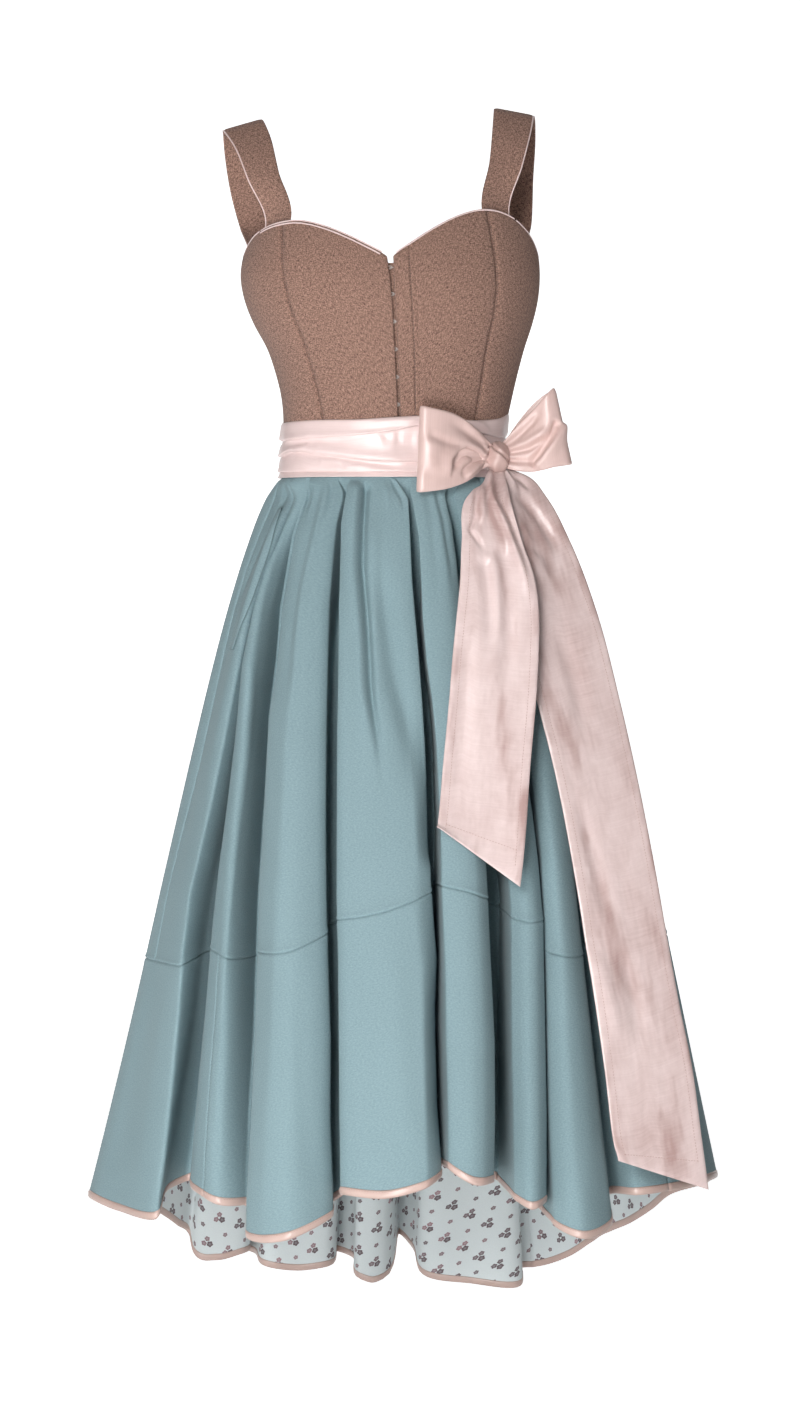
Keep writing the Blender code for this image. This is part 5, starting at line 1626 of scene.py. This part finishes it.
def tailGrid(tail, cloth):
    path = tailPlaces(tail, tails["solidRows"])
    across = np.linspace(0, 1, 5)
    xs = path[:, :1] + (path[:, 2:3] - path[:, :1]) * across
    zs = path[:, 1:2] + (path[:, 3:4] - path[:, 1:2]) * across
    turned = tail["slope"] * (xs - xs[:, :1])
    front = np.array([[frontOf(cloth, x, z) for x, z in zip(*row)] for row in zip(xs, zs)])
    level = np.nanmin(front - turned, axis=1) - tail["clear"] * mm
    level[0] = tail["rootY"] * mm
    for _ in range(tails["solidRows"]):
        level[1:-1] = np.minimum(level[1:-1], (level[:-2] + level[2:]) / 2)
    solid = np.stack([xs, level[:, None] + turned, zs], axis=2)
    path = tailPlaces(tail, tails["rows"])
    level = smooth(np.linspace(0, 1, tails["rows"]), np.linspace(0, 1, tails["solidRows"]), level)
    across = np.linspace(0, 1, tails["columns"])
    xs = path[:, :1] + (path[:, 2:3] - path[:, :1]) * across
    zs = path[:, 1:2] + (path[:, 3:4] - path[:, 1:2]) * across
    return np.stack([xs, level[:, None] + tail["slope"] * (xs - xs[:, :1]), zs], axis=2), solid


def makeTails():
    cloth = skirtPoints[::2, ::2].reshape(-1, 3)
    angle, z = np.meshgrid(np.arange(0, 120, 4.0), np.linspace(-400, -380, 3) * mm)
    band = bodyPoint(angle, z) + bodyOutward(angle, z) * tails["sashStandOut"]
    cloth = np.concatenate([cloth, band.reshape(-1, 3)])
    for word in ("long", "short"):
        tail = tails[word]
        grid, solid = tailGrid(tail, cloth)
        cloth = np.concatenate([cloth, solid.reshape(-1, 3)])
        normals = gridNormals(grid)
        grid = rolledEdge(grid, normals, tails["edgeWidth"], tails["edgeRoll"])
        grid = creased(grid, normals, tail["creases"])
        normals = gridNormals(grid)
        aside = measuredUv(grid)[..., 0]
        hem = []
        for inset in (tails["hem"], -tails["hem"]):
            target = aside[:, 0] + inset if inset > 0 else aside[:, -1] + inset
            place = np.array([np.interp(want, row, np.arange(len(row))) for want, row in zip(target, aside)])
            low = np.clip(place.astype(int), 0, grid.shape[1] - 2)
            t, line = (place - low)[:, None], np.arange(len(grid))
            hem.append((grid[line, low] * (1 - t) + grid[line, low + 1] * t + normals[line, low] * 0.12 * mm)[14:-4])
        foot = len(grid) - 1 - int(np.searchsorted(reach(grid[::-1, 4][:, None])[:, 0], tails["hem"]))
        pinkStitches.extend(hem + [grid[foot, 3:-3] + normals[foot, 3:-3] * 0.12 * mm])
        piece = clothPiece("sash_tail_" + word, grid, tails["wall"], wateredSatin, normals=normals, lip=0.5,
                           uv=measuredUv(grid) + (0.0 if word == "short" else 0.34))
        dress(piece, [tail["nodes"]], tail["flat"], held="hung")


print("tails")
makeTails()


# pocket welts
welt = {
    "width": 8.0 * mm, "lift": 2.0 * mm, "wall": 1.3 * mm, "edge": 0.55 * mm, "flat": (0.010, 0.166),
    "rows": 46, "columns": 9, "evened": 30,
    # x, z at the top and bottom of each welt's middle, and the part of the skirt's round that it keeps to
    "left": ((-121.5, -432), (-174, -586), (28.0, 35.4)), "right": ((168, -437), (221, -588), (447, 457)),
}


def makeWelt(word):
    # lies on the skirt's face along its line, with its width measured on the cloth
    (x1, z1), (x2, z2), (first, last) = welt[word]
    steps, ribs = welt["rows"], welt["columns"]
    columns = np.arange(int(first) - 7, int(last) + 8)
    heights = np.linspace(z1, z2, steps) * mm
    levels = np.array([[[np.interp(z, shaped[::-1, c, 2], source[::-1, c, axis]) for source in (shaped, blended)
                         for axis in range(3)] for c in columns] for z in heights])
    crossing = np.abs(levels[:, :, 0] - np.linspace(x1, x2, steps)[:, None] * mm).argmin(1) + columns[0]
    crossing = np.clip(crossing.astype(float), first, last)
    for _ in range(welt["evened"]):
        crossing[1:-1] = (crossing[:-2] + crossing[1:-1] * 2 + crossing[2:]) / 4
    grid, out = np.zeros((steps, ribs, 3)), np.zeros((steps, ribs, 3))
    for number, level in enumerate(levels):
        arc = np.concatenate([[0], np.cumsum(np.linalg.norm(np.diff(level[:, :2], axis=0), axis=1))])
        spots = np.interp(crossing[number], columns, arc) + np.linspace(-0.5, 0.5, ribs) * welt["width"]
        for axis in range(3):
            grid[number, :, axis] = np.interp(spots, arc, level[:, axis])
            out[number, :, axis] = np.interp(spots, arc, level[:, 3 + axis])
    for _ in range(4):
        grid[1:-1, :, :2] = (grid[:-2, :, :2] + grid[1:-1, :, :2] * 2 + grid[2:, :, :2]) / 4
    out = unit(out)
    grid = grid + out * welt["lift"]
    piece = clothPiece("pocket_welt_" + word, grid, welt["wall"], teal, lip=0.5)
    rim = np.concatenate([grid[:, 0], grid[-1, 1:-1], grid[::-1, -1], grid[0, -2:0:-1], grid[:1, 0]])
    dress(piece, ["pocket_welt_" + word], welt["flat"], held="stretched")
    return rim - out[0, 4] * 0.4 * mm


print("pocket welts")
# a dark cord round each welt's rim: partly its edge-stitching, partly painted shade of the groove along its edge
weltEdges = tubeMesh("welt_edges", [makeWelt("left"), makeWelt("right")], welt["edge"], 6)
dress(addPiece("welt_edges", weltEdges, tealThread))

print("stitches")
sewn("brown_stitches", brownStitches, brownThread)
sewn("teal_stitches", tealStitches, tealThread)
sewn("pink_stitches", pinkStitches, pinkThread)


# studio: plain pale floor and soft light
studio = {
    "distance": 4.0, "targetX": 0.0077, "targetZ": -0.6523, "lens": 92.06, "floorZ": -1.62,
    "air": 0.13, "paper": {"halfWidth": 9, "front": -8.0, "back": 11.0, "bend": 1.6, "top": 8.0},
    # place, aim, size, power, colour
    "lamps": [
        ((-0.7, -4.0, 0.15), (0, 0, -0.68), 0.9, 92, (1.0, 0.995, 0.985)),
        ((2.9, -2.6, 0.2), (0, 0, -0.6), 1.6, 4, (0.98, 0.99, 1.0)),
        ((-0.6, -2.3, -1.42), (0, 0, -1.2), 0.9, 37, (1.0, 1.0, 1.0)),
        ((0.0, 2.2, 1.9), (0, 0, -0.6), 1.8, 26, (1.0, 1.0, 1.0)),
        ((-1.15, -0.9, -1.15), (-0.2, 0, -0.95), 0.5, 2.6, (1.0, 1.0, 1.0)),
    ],
}


def aimed(obj, place, target):
    away = np.array(place, float) - np.array(target, float)
    flat = math.hypot(away[0], away[1])
    obj.location = place
    obj.rotation_euler = (math.atan2(flat, away[2]), 0, math.atan2(away[0], -away[1]))


def makeStudio():
    world = bpy.data.worlds.new("studio_air")
    world.use_nodes = True
    world.node_tree.nodes["Background"].inputs[0].default_value = (1, 1, 1, 1)
    world.node_tree.nodes["Background"].inputs[1].default_value = studio["air"]
    scene = bpy.context.scene
    scene.world = world
    scene.view_settings.view_transform = "Standard"
    # the floor sweeps up into a wall, which stands well back: the dress is seen from behind too
    paper = studio["paper"]
    back, bend, half = paper["back"], paper["bend"], paper["halfWidth"]
    profile = [(paper["front"], 0.0), (back, 0.0)]
    profile += [(back + bend * math.sin(a), bend * (1 - math.cos(a))) for a in np.linspace(0.1, math.pi / 2, 16)]
    profile += [(back + bend, paper["top"])]
    grid = np.array([[(x, y, studio["floorZ"] + z) for y, z in profile] for x in np.linspace(-half, half, 19)])
    quads = quadsOf(gridIndex(*grid.shape[:2]))
    mesh = makeMesh("studio_paper", grid.reshape(-1, 3), quads, np.zeros((quads.size, 2)))
    addPiece("studio_paper", mesh, makePaper())
    for number, (place, target, size, power, colour) in enumerate(studio["lamps"]):
        lamp = bpy.data.lights.new(f"softbox_{number}", "AREA")
        lamp.shape, lamp.size, lamp.energy, lamp.color = "SQUARE", size, power, colour
        obj = bpy.data.objects.new(f"softbox_{number}", lamp)
        scene.collection.objects.link(obj)
        aimed(obj, place, target)
    camera = bpy.data.cameras.new("camera")
    camera.lens, camera.sensor_width = studio["lens"], 36.0
    camera.clip_end = 50
    obj = bpy.data.objects.new("camera", camera)
    scene.collection.objects.link(obj)
    obj.location = (studio["targetX"], -studio["distance"], studio["targetZ"])
    obj.rotation_euler = (math.pi / 2, 0, 0)
    scene.camera = obj


print("studio")
makeStudio()
